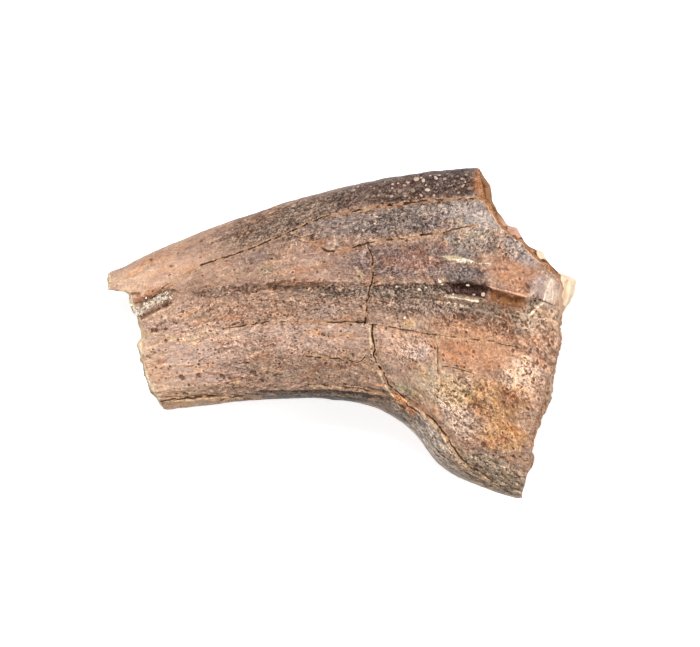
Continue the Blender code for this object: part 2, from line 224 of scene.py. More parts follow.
# Lines of colour and relief on the upper side: what it is; its width; its height, or its depth if negative; its
# colour; how strong that is; and the points along it.
MARKS = (
    ("dark trough of the groove", 1.2, -0.4, (56, 22, 12), 1.0,
     ((10.80, 4.56), (11.93, 4.40), (13.36, 4.25), (14.49, 4.30))),
    ("orange-brown trough", 0.98, -0.35, (140, 92, 51), 0.95,
     ((15.21, 3.69), (16.23, 3.33), (17.46, 3.07), (18.18, 2.97))),
    ("olive lower lip", 0.37, 0.05, (124, 104, 84), 0.85, ((13.98, 3.07), (15.41, 2.76), (16.95, 2.25))),
    # a splinter on the groove's lower lip, painted white partly as a highlight where light from above catches the lip
    ("white splinter", 0.2, 0.12, (250, 236, 214), 1.0, ((10.60, 3.67), (12.24, 3.43), (13.82, 3.14))),
    ("dark line below the splinter", 0.16, -0.05, (84, 70, 60), 0.8,
     ((8.2, 3.75), (10.2, 3.25), (12.3, 2.95), (14.2, 2.55), (16.0, 1.95), (17.6, 1.1))),
    ("pale line below the splinter", 0.14, 0.05, (192, 174, 154), 0.7,
     ((9.6, 3.05), (12.2, 2.65), (14.2, 2.25), (16.2, 1.55))),
    ("second dark line below the splinter", 0.14, -0.05, (92, 76, 64), 0.7,
     ((9.2, 2.75), (11.8, 2.4), (14.0, 1.95), (15.6, 1.4))),
    ("pink upper lip", 0.23, 0.15, (236, 180, 150), 0.9, ((14.80, 4.76), (16.44, 4.32), (18.64, 3.69))),
    ("orange-brown ledge", 0.74, 0.18, (132, 96, 72), 0.85,
     ((-7.12, 5.02), (-5.79, 5.07), (-4.25, 5.10), (-2.82, 5.07), (-1.79, 5.07))),
    # painted highlight: a pale pink line where the light from above catches the crest of the ledge
    ("pink crest of the ledge", 0.20, 0.3, (226, 168, 140), 0.9, ((-4.86, 5.22), (-3.94, 5.32), (-2.82, 5.32))),
    # painted shade: a dark line where the ledge shades the groove below it
    ("dark line under the ledge", 0.4, -0.04, (118, 90, 72), 0.4,
     ((-8.14, 4.63), (-5.27, 4.63), (-1.69, 4.63), (0.36, 4.56))),
    # painted shade: a soft dark line where shade falls in the left groove
    ("dark line of the left groove", 0.7, -0.03, (118, 90, 78), 0.3,
     ((-15.51, 4.10), (-13.98, 4.25), (-11.93, 4.40), (-9.88, 4.51), (-8.14, 4.61))),
    ("grey-green groove", 1.0, -0.06, (102, 92, 82), 0.5,
     ((-1.18, 4.15), (0.87, 4.10), (3.94, 4.10), (7.01, 4.25), (10.09, 4.40))),
    ("dark line in the grey groove", 0.3, -0.06, (70, 55, 45), 0.6,
     ((2.41, 4.66), (5.48, 4.76), (8.04, 4.92), (9.88, 4.76))),
    ("pale line in the grey groove", 0.16, 0.06, (176, 164, 144), 0.7, ((3.12, 3.99), (5.99, 3.79), (8.55, 3.74))),
    ("thin white line above the grey groove", 0.14, 0.04, (202, 188, 172), 0.5,
     ((5.6, 5.2), (7.5, 5.15), (9.6, 4.95))),
    ("thin white line in the grey groove", 0.14, 0.04, (206, 194, 178), 0.8,
     ((5.6, 4.45), (7.4, 4.35), (9.0, 4.25), (10.4, 4.0))),
    ("thin white line below the grey groove", 0.14, 0.04, (200, 184, 166), 0.7,
     ((7.2, 3.4), (9.0, 3.3), (10.8, 3.1), (12.6, 2.8))),
    ("pale yellow streak", 0.5, 0.05, (222, 205, 168), 0.9, ((10.75, 7.62), (11.9, 7.5))),
    ("cream heart of the pale streak", 0.55, 0.08, (255, 244, 222), 1.0, ((11.75, 7.42), (13.1, 7.15))),
    ("thin end of the pale streak", 0.18, 0.05, (238, 220, 196), 0.9,
     ((12.95, 7.16), (13.98, 7.08), (15.00, 6.97))),
    ("brown streak of the orange end", 0.31, -0.03, (138, 96, 78), 0.75,
     ((14.80, 6.45), (15.92, 6.50), (16.74, 6.40))),
    ("ring pit of the orange end", 0.35, -0.12, (120, 78, 54), 0.9, ((18.69, 4.81), (18.89, 4.56))),
    ("cream left lip of the main crack", 0.25, 0.06, (244, 218, 180), 0.95,
     ((2.88, 0.41), (2.92, -0.51), (2.98, -1.54), (3.12, -2.15))),
    ("cream lip further down", 0.23, 0.05, (238, 208, 170), 0.85,
     ((3.84, -3.99), (4.25, -4.92), (4.76, -5.84), (5.38, -6.50))),
    ("cream lip of the long crack", 0.17, 0.07, (244, 212, 170), 0.95,
     ((6.60, -6.95), (8.20, -8.15), (9.25, -9.15), (10.15, -10.25), (10.80, -11.30), (11.40, -12.25),
      (12.15, -13.15), (12.80, -13.65))),
    ("root line", 0.24, 0.08, (240, 202, 174), 1.0, ((-0.69, 9.57), (-0.63, 8.91), (-1.08, 8.29))),
    ("tan line to the main crack", 0.23, 0.04, (228, 182, 142), 0.85,
     ((1.89, -3.00), (2.61, -3.41), (3.33, -3.74), (4.04, -3.94))),
    ("dark root line", 0.18, -0.06, (92, 62, 50), 0.85, ((9.11, 3.19), (9.68, 2.87), (10.27, 2.36))),
    ("cream seam", 0.23, 0.05, (228, 198, 160), 0.75, ((9.63, -0.51), (9.57, -1.74), (9.63, -3.07))),
    ("dark dashes of the seam", 0.18, -0.1, (70, 50, 36), 0.9, ((9.72, -3.38), (9.78, -4.10))),
    ("cream seam further down", 0.20, 0.05, (234, 212, 172), 0.75, ((9.96, -4.30), (9.88, -5.12), (9.83, -6.04))),
    ("orange line of the slope", 0.16, -0.03, (170, 118, 86), 0.7,
     ((10.50, -3.25), (11.83, -3.79), (13.16, -4.10))),
    ("pale facet at the rim", 0.6, 0.06, (224, 204, 186), 0.85, ((21.0, 4.5), (20.85, 3.35))),
    ("white left edge of the facet", 0.16, 0.1, (248, 230, 208), 0.9, ((21.1, 5.3), (20.62, 4.2), (20.4, 3.25))),
    ("white right edge of the facet", 0.16, 0.1, (246, 226, 202), 0.85, ((21.2, 5.3), (21.38, 4.1), (21.2, 3.0))),
    ("cream lumps", 0.42, 0.12, (252, 236, 208), 0.95, ((19.75, 2.60), (20.35, 3.00))),
    ("smaller cream lumps", 0.36, 0.1, (246, 226, 198), 0.95, ((18.80, 1.75), (19.45, 2.25))),
    ("olive hollow", 0.66, -0.15, (112, 92, 72), 0.85, ((19.00, 2.15), (19.46, 3.07))),
    ("pale line in the hollow", 0.16, 0.1, (218, 198, 174), 0.9, ((18.94, 2.20), (19.35, 3.17))),
    ("dark line by the facet", 0.20, -0.08, (100, 78, 60), 0.8, ((19.40, 3.45), (20.30, 3.20), (21.30, 2.85))),
    ("olive shade below the trough", 0.53, -0.05, (128, 104, 82), 0.75,
     ((16.95, 2.15), (17.87, 1.74), (18.38, 0.92))),
    ("orange upper wall of the channel", 0.70, 0.18, (178, 124, 90), 0.9,
     ((-21.25, 3.28), (-20.12, 3.74), (-18.89, 4.32), (-17.56, 4.81))),
    ("brown line in that wall", 0.16, -0.06, (124, 82, 58), 0.8,
     ((-21.15, 3.07), (-20.02, 3.64), (-19.00, 4.15), (-18.07, 4.56))),
    # painted shade: the upper wall of the channel, darkened where it lies in shade
    ("dark upper side of the channel", 0.3, -0.2, (140, 110, 88), 0.8,
     ((-20.53, 2.97), (-19.61, 3.53), (-18.79, 3.91), (-17.87, 4.22), (-17.15, 4.30))),
    ("crystal bed of the channel", 0.7, -0.35, (204, 182, 162), 0.85,
     ((-21.35, 2.41), (-20.53, 2.46), (-19.81, 2.82), (-18.89, 3.30), (-18.2, 3.65))),
    # painted shade: the lower wall of the channel, brown and darker where it lies in shade
    ("brown lower side of the channel", 0.6, -0.3, (134, 104, 82), 1.0,
     ((-20.58, 1.59), (-19.61, 2.15), (-18.79, 2.61), (-17.77, 3.12))),
    ("pale lip of the channel", 0.3, 0.12, (236, 198, 168), 0.9,
     ((-20.48, 1.13), (-19.40, 1.69), (-18.28, 2.27), (-17.46, 2.76), (-16.74, 3.17))),
    ("brown notch at the tongue", 0.31, -0.25, (146, 108, 78), 0.9, ((-21.56, 4.10), (-20.84, 3.99))),
    ("cream end of the tongue", 0.3, 0.0, (240, 218, 176), 0.85, ((-23.78, 5.94), (-23.75, 4.51))),
    ("cream lower edge of the tongue", 0.20, 0.0, (242, 216, 174), 0.85, ((-23.60, 4.38), (-21.66, 4.28))),
    ("cream break edge at the crystals", 0.57, 0.0, (246, 232, 206), 0.9,
     ((-21.50, 3.38), (-21.40, 2.46), (-20.99, 1.74))),
    ("cream break edge, upper", 0.35, 0.0, (255, 234, 200), 0.95, ((-20.74, 1.33), (-20.53, 0.31))),
    ("cream break edge, middle", 0.35, 0.0, (255, 234, 198), 0.95,
     ((-20.68, -0.92), (-20.33, -2.97), (-19.76, -4.81), (-18.79, -6.66))),
    ("brown notch of the break", 0.35, -0.25, (138, 98, 68), 0.95, ((-20.38, 0.26), (-20.12, -0.26))),
    ("pale line from the notch", 0.25, 0.08, (238, 204, 162), 0.8,
     ((-19.63, -0.15), (-18.38, -0.03), (-16.95, -0.56), (-15.51, -0.72), (-14.08, -0.26), (-12.54, 0.20),
      (-10.80, 0.61))),
    ("second pale line", 0.25, 0.07, (230, 192, 156), 0.7,
     ((-20.02, -3.94), (-18.59, -3.48), (-17.05, -3.23), (-15.00, -3.17), (-14.18, -2.41))),
    ("third pale line", 0.29, 0.08, (226, 188, 152), 0.7,
     ((-19.40, -6.09), (-17.87, -5.70), (-16.13, -5.48), (-14.49, -5.32), (-12.24, -5.17), (-10.39, -5.02))),
    ("cream line of the tip's middle", 0.2, 0.07, (240, 208, 172), 0.8,
     ((-19.9, -1.6), (-18.2, -0.9), (-16.6, -0.7), (-15.2, -0.1), (-13.9, 0.2))),
    ("orange line of the tip", 0.3, 0.03, (226, 176, 136), 0.7, ((-16.9, -2.4), (-15.3, -1.6), (-14.4, -1.0))),
    ("upper cream line of the tip", 0.18, 0.06, (236, 200, 168), 0.75,
     ((-19.3, 1.0), (-17.6, 1.6), (-16.0, 2.1), (-14.6, 2.5))),
    ("lower orange line of the tip", 0.3, 0.04, (226, 178, 140), 0.7,
     ((-18.9, -4.9), (-17.2, -4.3), (-15.4, -4.2), (-13.8, -3.9), (-12.0, -4.1))),
    ("brown line of the tip", 0.2, -0.06, (134, 102, 84), 0.6,
     ((-15.6, -3.4), (-13.6, -3.1), (-11.6, -3.3), (-9.6, -3.0))),
    ("brown band by it", 0.41, -0.05, (160, 126, 104), 0.65,
     ((-17.56, -6.14), (-15.51, -5.94), (-12.95, -5.73), (-9.88, -5.58))),
    ("cream line of the inner edge", 0.25, 0.06, (232, 198, 156), 0.8,
     ((-16.95, -7.01), (-14.90, -6.86), (-13.06, -6.71), (-10.39, -6.71))),
    ("dark line of the inner edge", 0.18, -0.08, (110, 78, 56), 0.85,
     ((-18.79, -6.55), (-17.36, -6.60), (-16.23, -6.55), (-14.49, -6.45), (-12.24, -6.40))),
    ("first dark stripe", 0.18, -0.06, (94, 72, 56), 0.8,
     ((-3.84, -5.38), (-1.38, -5.36), (0.67, -5.35), (2.71, -5.58), (4.35, -5.94))),
    ("first pale stripe", 0.20, 0.06, (200, 168, 140), 0.7,
     ((-4.25, -5.68), (-1.18, -5.63), (1.08, -5.82), (3.12, -6.09), (4.97, -6.55))),
    ("second dark stripe", 0.29, -0.08, (84, 66, 53), 0.8,
     ((-8.14, -5.99), (-4.25, -5.97), (-1.18, -5.94), (1.38, -6.12), (4.45, -6.71), (6.40, -7.58))),
    ("second pale stripe", 0.18, 0.05, (156, 130, 106), 0.7,
     ((-7.32, -6.31), (-4.25, -6.31), (-1.18, -6.31), (1.89, -6.51), (4.76, -7.10))),
    ("brown lip of the long crack", 0.20, 0.0, (188, 146, 110), 0.7,
     ((7.32, -6.71), (8.45, -7.68), (9.47, -8.81), (10.50, -9.98), (11.42, -11.21), (12.13, -12.13))),
    ("cream strand of the knob", 0.2, 0.07, (240, 212, 172), 0.9, ((12.9, -13.1), (14.45, -13.85))),
    ("long cream strand", 0.16, 0.07, (230, 200, 162), 0.85, ((14.0, -14.3), (15.4, -15.2), (16.6, -15.9))),
    ("dark strand of the knob", 0.2, -0.08, (94, 72, 54), 0.85,
     ((13.5, -13.7), (14.35, -14.4), (15.7, -15.4), (17.6, -16.6))),
    ("cream strand by the corner", 0.16, 0.06, (234, 204, 166), 0.9, ((17.1, -15.75), (18.6, -16.4))),
    ("upper cream strand", 0.14, 0.06, (222, 192, 156), 0.85, ((16.5, -14.7), (18.3, -15.6))),
    ("upper dark strand", 0.16, -0.06, (102, 82, 66), 0.8, ((15.9, -14.7), (18.1, -16.1))),
    ("pale strand", 0.15, 0.05, (206, 184, 160), 0.8, ((15.0, -13.0), (16.75, -13.7))),
    ("dark strand above", 0.14, -0.06, (108, 88, 70), 0.8, ((15.4, -14.2), (17.4, -14.9))),
    ("dark strand of the side", 0.2, -0.06, (118, 100, 82), 0.75,
     ((9.6, -11.75), (11.1, -13.2), (12.65, -14.2), (14.2, -15.05), (15.7, -15.9))),
    ("pale strand of the side", 0.18, 0.05, (206, 184, 158), 0.7, ((9.0, -10.3), (10.6, -12.1), (12.2, -13.5))),
    ("brown-red pits in a row", 0.29, -0.06, (122, 84, 70), 0.7, ((-4.15, -4.86), (-3.33, -4.76), (-2.61, -4.79))),
    ("cream spot of the middle panel", 0.66, 0.03, (200, 178, 142), 0.75, ((1.79, 6.04), (1.95, 5.84))),
    ("dark pit with a cream ring", 0.35, -0.12, (64, 48, 38), 0.95, ((5.61, 1.71), (5.66, 1.48))),
    ("orange fleck by the crack", 0.49, 0.0, (160, 106, 80), 0.6, ((2.51, 5.27), (3.74, 5.27))),
)


def column(table, number):
    return np.array([row[number] for row in table])


def bent_line(points, seed, stray):
    """The points of a line with many small bends between them."""
    line = []
    for start, end in zip(points, points[1:]):
        start, end = np.array(start), np.array(end)
        bends = max(1, round(np.linalg.norm(end - start) / BEND_LENGTH))
        line += [start + (end - start) * k / bends for k in range(bends)]
    line = np.array([*line, points[-1]])
    flat = np.column_stack((line, np.zeros(len(line))))
    return line + stray * np.column_stack([lumps(flat, (0.45, 0.45, 1), seed + k) for k in (0, 1)])


def nearest_lines(points, upper, lines, stray, reach=1.6):
    """For each point: the number of the line whose edge is nearest; the distance from the line's middle; how far
    over that middle it is, where -1 and 1 are the line's edges; and how far along the line, with a gap between lines.
    Each line is the side it is on, its width and its points."""
    number = np.zeros(len(points), int)
    away, over, run = np.full(len(points), 9.0), np.full(len(points), 9.0), np.zeros(len(points))
    for index, (side, width, ends) in enumerate(lines):
        line = bent_line(ends, 10 * index, stray)
        near = np.flatnonzero(
            (upper == (side > 0))
            & np.all(points[:, :2] > line.min(axis=0) - reach, axis=1)
            & np.all(points[:, :2] < line.max(axis=0) + reach, axis=1)
        )
        before = 40.0 * index
        for start, end in zip(line, line[1:]):
            length = np.linalg.norm(end - start)
            ahead = (end - start) / length
            there = near[np.linalg.norm(points[near, :2] - start, axis=1) < reach]
            offset = points[there, :2] - start
            along = np.clip(offset @ ahead, 0, length)
            miss = offset - along[:, None] * ahead
            distance = np.linalg.norm(miss, axis=1)
            at = np.column_stack((before + along, np.zeros(len(there)), np.zeros(len(there))))
            side_on = np.where(ahead[0] * miss[:, 1] - ahead[1] * miss[:, 0] < 0, -1, 1)
            across = side_on * distance / (width / 2 * (0.8 + 0.3 * lumps(at, (0.7, 1, 1), 3)))
            closer = np.abs(across) < np.abs(over[there])
            there = there[closer]
            number[there], away[there], over[there] = index, distance[closer], across[closer]
            run[there] = at[closer, 0]
            before += length
    return number, away, over, run


def crack_fields(points, upper):
    """For each point: the distance to the nearest crack, how far over it that is, how open it is and its depth."""
    lines = [(side, width, ends) for side, width, *_, ends in CRACKS]
    number, away, over, run = nearest_lines(points, upper, lines, 0.09)
    filled = column(CRACKS, 3)[number]
    along = np.column_stack((run, np.zeros(len(run)), np.zeros(len(run))))
    opening = ease(lumps(along, (0.6, 1, 1), 4), 2 * filled - 1.15, 2 * filled - 0.85) * (away < 1)
    return away, over, opening, column(CRACKS, 2)[number]


def mark_fields(points, upper):
    """For each point: the number of the nearest mark, and how far over that mark it is."""
    number, _, over, _ = nearest_lines(points, upper, [(1, width, line) for _, width, *_, line in MARKS], 0.05)
    return number, over


# The skin is divided once more along the cracks and marks, so that their edges are sharp.
places, normals = read_points(bone)
away = crack_fields(places, normals[:, 2] > 0)[0]
number, over = mark_fields(places, normals[:, 2] > 0)
narrow = column(MARKS, 1)[number] < 0.8
bone.data.vertices.foreach_set("select", (away < 0.34) | (narrow & (np.abs(over) < 1.9)))
bone.data.update()
bpy.ops.object.mode_set(mode="EDIT")
bpy.ops.mesh.select_mode(type="VERT")
bpy.ops.mesh.subdivide(number_cuts=1)
bpy.ops.object.mode_set(mode="OBJECT")


def dig(points, centres, radii, depths):
    """How deep round-bottomed pits at those centres are at each point."""
    tree = KDTree(len(points))
    for index, point in enumerate(points):
        tree.insert(point, index)
    tree.balance()
    dug = np.zeros(len(points))
    for centre, radius, depth in zip(centres, radii, depths):
        for _, index, distance in tree.find_range(centre, radius):
            dug[index] = max(dug[index], depth * (1 - (distance / radius) ** 2))
    return dug


# Patches of colour on the skin, as seen from above: what it is; x, y, half length, half width and the tilt of the
# length in degrees; red, green and blue from 0 to 255; and how strong it is. A later patch lies over an earlier one.
SKIN_COLOUR = (176, 143, 122)
STAINS = (
    ("pink tongue of the tip", -19.0, 6.5, 7.6, 2.9, 24, (210, 171, 146), 0.95),
    ("pink tip below the groove", -16.5, -1.7, 7.0, 5.0, 4, (211, 178, 160), 0.85),
    ("tan edge of the tip", -19.6, -4.8, 2.6, 4.0, 0, (226, 188, 158), 0.6),
    ("brown back edge by the tip", -12.2, 10.3, 6.0, 1.3, 22, (163, 131, 113), 0.8),
    ("dark upper edge of the tongue", -17.5, 8.7, 6.0, 0.8, 24, (188, 147, 121), 0.6),
    ("grey-brown back band", -5.0, 11.6, 8.0, 1.9, 18, (105, 86, 71), 0.85),
    ("pink-brown left panel", -9.6, 6.7, 6.6, 2.3, 14, (174, 141, 121), 0.9),
    ("grey fleck of the left panel", -8.6, 7.8, 3.0, 0.8, 14, (152, 128, 117), 0.7),
    ("pink-brown middle panel", -1.0, 6.9, 5.0, 2.4, 2, (180, 146, 128), 0.9),
    # painted shade: orange-brown, darker below the side crack, where its ledge shades the skin
    ("orange painted shade under the side crack", -1.6, 9.0, 2.6, 0.9, -18, (166, 117, 90), 0.8),
    ("grey panel between the cracks", 0.2, 10.9, 6.0, 1.2, 9, (139, 125, 121), 0.85),
    ("mauve upper panel", 7.2, 11.5, 6.5, 1.7, 6, (110, 102, 101), 0.9),
    ("pale mauve end", 13.3, 11.9, 3.0, 2.3, 0, (168, 163, 162), 0.8),
    ("dark back band", 7.5, 15.1, 9.5, 2.0, 9, (54, 26, 14), 0.95),
    ("end of the dark back band", 11.2, 15.4, 3.8, 1.6, 3, (54, 24, 15), 0.85),
    ("reddish heart of the back band", 4.0, 14.9, 3.6, 0.9, 9, (78, 38, 27), 0.8),
    ("orange corner", 14.2, 15.4, 0.9, 1.8, 0, (168, 112, 74), 0.9),
    ("purple-brown panel", 6.4, 7.3, 7.4, 2.0, 0, (122, 102, 99), 0.9),
    ("rosy streak", 7.2, 7.2, 3.5, 0.8, 0, (160, 120, 106), 0.7),
    ("grey end of the panel", 12.6, 5.9, 2.8, 0.9, 0, (110, 100, 100), 0.8),
    ("grey-green flecks", 13.6, 9.0, 2.6, 1.2, 6, (148, 141, 136), 0.7),
    ("smooth orange end", 17.8, 5.7, 3.6, 1.9, -24, (182, 134, 104), 0.95),
    ("pale end of the panel", 20.4, 4.2, 1.6, 1.8, -30, (176, 158, 154), 0.8),
    # painted shade: darker along the groove at the left, where the groove lies in shade
    ("painted shade of the groove at the left", -11.0, 4.3, 4.5, 0.55, 6, (142, 112, 97), 0.85),
    ("orange-brown ledge", -6.0, 4.75, 3.2, 0.4, 1, (138, 100, 76), 0.95),
    ("groove in the middle", -1.0, 4.1, 5.0, 0.75, 0, (132, 113, 101), 0.85),
    ("grey groove", 6.6, 4.2, 5.2, 0.8, 0, (116, 103, 95), 0.9),
    ("darkest part of the groove", 12.6, 4.5, 2.5, 0.9, -5, (50, 27, 20), 1.0),
    # the same splinter, painted pale partly as a highlight on the lit lower lip
    ("pale splinter with a painted highlight", 12.3, 3.55, 1.7, 0.13, -11, (214, 194, 172), 0.9),
    ("orange-brown groove end", 17.0, 3.6, 2.7, 0.8, -18, (132, 87, 54), 0.95),
    ("pink skin below the groove", -12.5, 1.9, 5.5, 1.4, 8, (180, 145, 123), 0.8),
    ("grey-brown below the groove", -3.0, 2.5, 6.5, 1.1, 0, (164, 133, 114), 0.8),
    ("grey right below the groove", 7.8, 2.7, 6.2, 1.0, -3, (142, 121, 108), 0.85),
    ("olive square patch", 6.9, 0.95, 0.9, 0.55, -5, (206, 182, 142), 0.85),
    ("tan strip", 13.6, 0.7, 5.2, 1.1, -10, (130, 93, 69), 0.85),
    ("olive-brown below the trough", 14.2, 2.4, 4.5, 0.8, -14, (130, 102, 80), 0.8),
    ("orange-brown fleck", 12.4, 1.6, 2.6, 0.6, 2, (132, 93, 72), 0.8),
    ("mottled brown end", 20.0, 0.9, 2.4, 2.9, 0, (203, 180, 158), 0.8),
    ("brown right edge", 20.2, -0.8, 1.6, 2.4, 0, (152, 114, 92), 0.7),
    ("smooth pink strip", -5.2, -0.3, 10.0, 1.7, 2, (194, 164, 148), 0.85),
    ("grey-brown lower strip", -3.4, -3.6, 9.5, 1.2, 0, (164, 136, 118), 0.85),
    ("pink right of the main crack", 6.6, -1.0, 3.2, 2.0, 0, (216, 178, 155), 0.8),
    ("white flecks", 7.7, -1.9, 1.5, 0.9, 0, (226, 202, 190), 0.7),
    ("orange slope", 13.8, -1.7, 5.2, 2.5, -8, (202, 148, 112), 0.9),
    ("olive-cream slope", 10.0, -5.6, 3.4, 2.0, -42, (216, 192, 162), 0.8),
    ("pale speckled patch", 18.2, -4.6, 2.2, 2.4, 0, (236, 202, 176), 0.9),
    ("brown-orange patch", 15.6, -7.0, 3.6, 2.2, -20, (198, 151, 103), 0.9),
    ("grey-pink patch", 11.6, -8.4, 2.6, 1.3, -45, (222, 198, 180), 0.75),
    ("orange-brown knob", 16.4, -10.4, 2.8, 1.6, -10, (219, 168, 115), 0.8),
    ("grey-brown fibrous end", 15.4, -14.2, 4.6, 1.8, -28, (160, 142, 120), 0.95),
    ("grey side of the bend", 8.6, -10.6, 5.2, 1.3, -48, (198, 190, 180), 0.9),
    ("tan inner edge at the tip", -15.6, -6.9, 4.6, 0.9, 4, (212, 172, 134), 0.85),
    # darker along the inner edge: partly its own stain, partly painted shade on the side turned away from the light
    ("dark inner edge", -1.2, -6.5, 8.6, 0.75, 0, (42, 33, 26), 0.95),
    ("dark inner edge of the bend", 5.4, -7.9, 3.6, 0.6, -30, (104, 89, 78), 0.8),
    ("olive streak by the main crack", 6.5, -5.6, 1.2, 0.5, -20, (163, 151, 124), 0.85),
    ("rust", 6.2, -7.1, 1.4, 0.5, -42, (219, 146, 89), 1.0),
    ("lavender end of the mauve panel", 13.06, 12.39, 1.5, 0.8, 0, (170, 155, 150), 0.8),
    ("bluish heart of the mauve panel", 9.68, 11.57, 1.3, 0.8, 20, (122, 112, 116), 0.8),
    ("green-grey flecks", 11.11, 9.73, 1.1, 0.5, 5, (152, 146, 138), 0.8),
    ("paler green-grey flecks", 13.98, 10.04, 1.5, 0.7, 0, (172, 159, 142), 0.8),
    ("grey-mauve end of the panel", 14.9, 8.5, 1.3, 0.6, 0, (150, 132, 124), 0.8),
    ("blue-grey by the groove", 11.83, 6.04, 1.5, 0.75, 0, (112, 102, 104), 0.85),
    ("rosy brown by the side crack", 7.22, 7.27, 1.6, 1.6, 0, (152, 118, 106), 0.7),
    ("white fleck patch", 8.14, -1.74, 0.7, 0.5, 0, (226, 202, 192), 0.7),
    ("brown above the knob", 16.95, -6.76, 1.4, 0.9, -25, (160, 112, 80), 0.85),
    ("orange spots of the knob", 16.03, -10.75, 1.0, 0.4, 10, (184, 118, 76), 0.8),
    ("rust spots of the knob", 16.74, -10.96, 0.4, 0.3, 0, (160, 98, 62), 0.8),
    ("olive-yellow field", 11.62, -6.04, 2.4, 1.5, -30, (220, 188, 146), 0.6),
    ("dark olive in it", 12.54, -6.04, 0.6, 0.35, -20, (112, 88, 52), 0.7),
    ("olive shade by the bend", 7.53, -6.14, 0.5, 0.5, 0, (150, 126, 84), 0.7),
    ("orange-brown blot of the tip", -18.48, -2.97, 0.35, 0.45, 60, (188, 132, 92), 0.9),
    ("second rust", 7.07, -7.78, 0.75, 0.33, -65, (212, 136, 84), 1.0),
    ("brown facet of the corner", 14.69, 15.26, 0.5, 1.3, 0, (136, 102, 76), 0.8),
    ("brown end of the back crack", 15.41, 12.19, 0.5, 1.4, 45, (166, 120, 86), 0.7),
    ("grey flecks of the left panel", -0.77, 8.91, 1.0, 0.6, 0, (178, 158, 146), 0.6),
    ("mauve left of the middle", -1.69, 2.25, 1.4, 0.6, 0, (162, 140, 136), 0.6),
    ("pale facet at the rim", 21.2, 4.1, 1.3, 0.7, 100, (228, 202, 180), 0.8),
    ("lilac strip inside the rim", 17.6, 8.5, 2.6, 1.0, -42, (153, 149, 154), 0.75),
    ("brown side below the crack", 12.6, -13.7, 3.0, 0.7, -33, (190, 164, 136), 0.8),
    ("lilac of the tip", -15.6, -2.4, 3.0, 1.2, 20, (198, 170, 158), 0.7),
    ("mauve of the lower tip", -12.5, -4.2, 3.4, 1.0, 10, (181, 154, 144), 0.6),
    ("orange-brown of the back edge", -8.0, 12.1, 2.4, 0.7, 20, (138, 98, 70), 0.8),
    ("grey-olive patch", -7.7, 6.6, 0.8, 0.5, 30, (178, 160, 136), 0.7),
    ("pale patch of the middle", -2.9, 7.1, 0.8, 0.4, 0, (204, 176, 156), 0.7),
    ("left end of the dark band", 2.6, 13.9, 3.8, 0.8, 12, (74, 46, 31), 0.8),
    ("pale end of the tongue", -21.6, 5.7, 2.6, 1.4, 20, (218, 184, 158), 0.7),
    ("dark edge below the knob", 13.2, -15.2, 3.4, 0.6, -24, (150, 130, 108), 0.85),
    ("brown above the pale speckled patch", 18.2, -1.2, 2.0, 1.0, 0, (190, 146, 116), 0.7),
)
UNDER_STAINS = (  # the same for the under side
    ("pink tongue of the tip", -19.0, 6.5, 6.6, 3.4, 24, (214, 172, 146), 0.9),
    ("brown panel by the tip", -14.0, -1.0, 6.0, 4.5, 4, (190, 150, 126), 0.8),
    ("grey-mauve back panel", 0.0, 10.0, 11.0, 2.8, 10, (150, 128, 117), 0.85),
    ("dark back band", 5.0, 14.9, 12.0, 1.5, 9, (100, 76, 64), 0.95),
    ("orange-brown groove", 3.0, 4.0, 15.0, 0.9, 0, (118, 88, 72), 0.85),
    ("worn pale swelling", 8.0, 9.4, 2.6, 1.8, 10, (204, 170, 146), 0.7),
    ("pink lower panel", -3.0, -1.5, 9.0, 3.0, 0, (196, 160, 139), 0.8),
    ("orange slope", 14.5, -3.0, 6.0, 4.5, -8, (200, 154, 122), 0.85),
    ("worn flat by the joint", 17.0, -4.5, 3.0, 3.2, 0, (214, 180, 152), 0.7),
    ("olive-brown knob", 14.0, -10.0, 4.5, 3.0, -30, (178, 148, 116), 0.85),
    ("grey-brown fibrous end", 15.4, -14.6, 4.6, 1.8, -28, (146, 123, 104), 0.95),
    ("dark inner edge", -1.2, -6.6, 10.0, 0.7, 0, (104, 87, 75), 0.9),
)
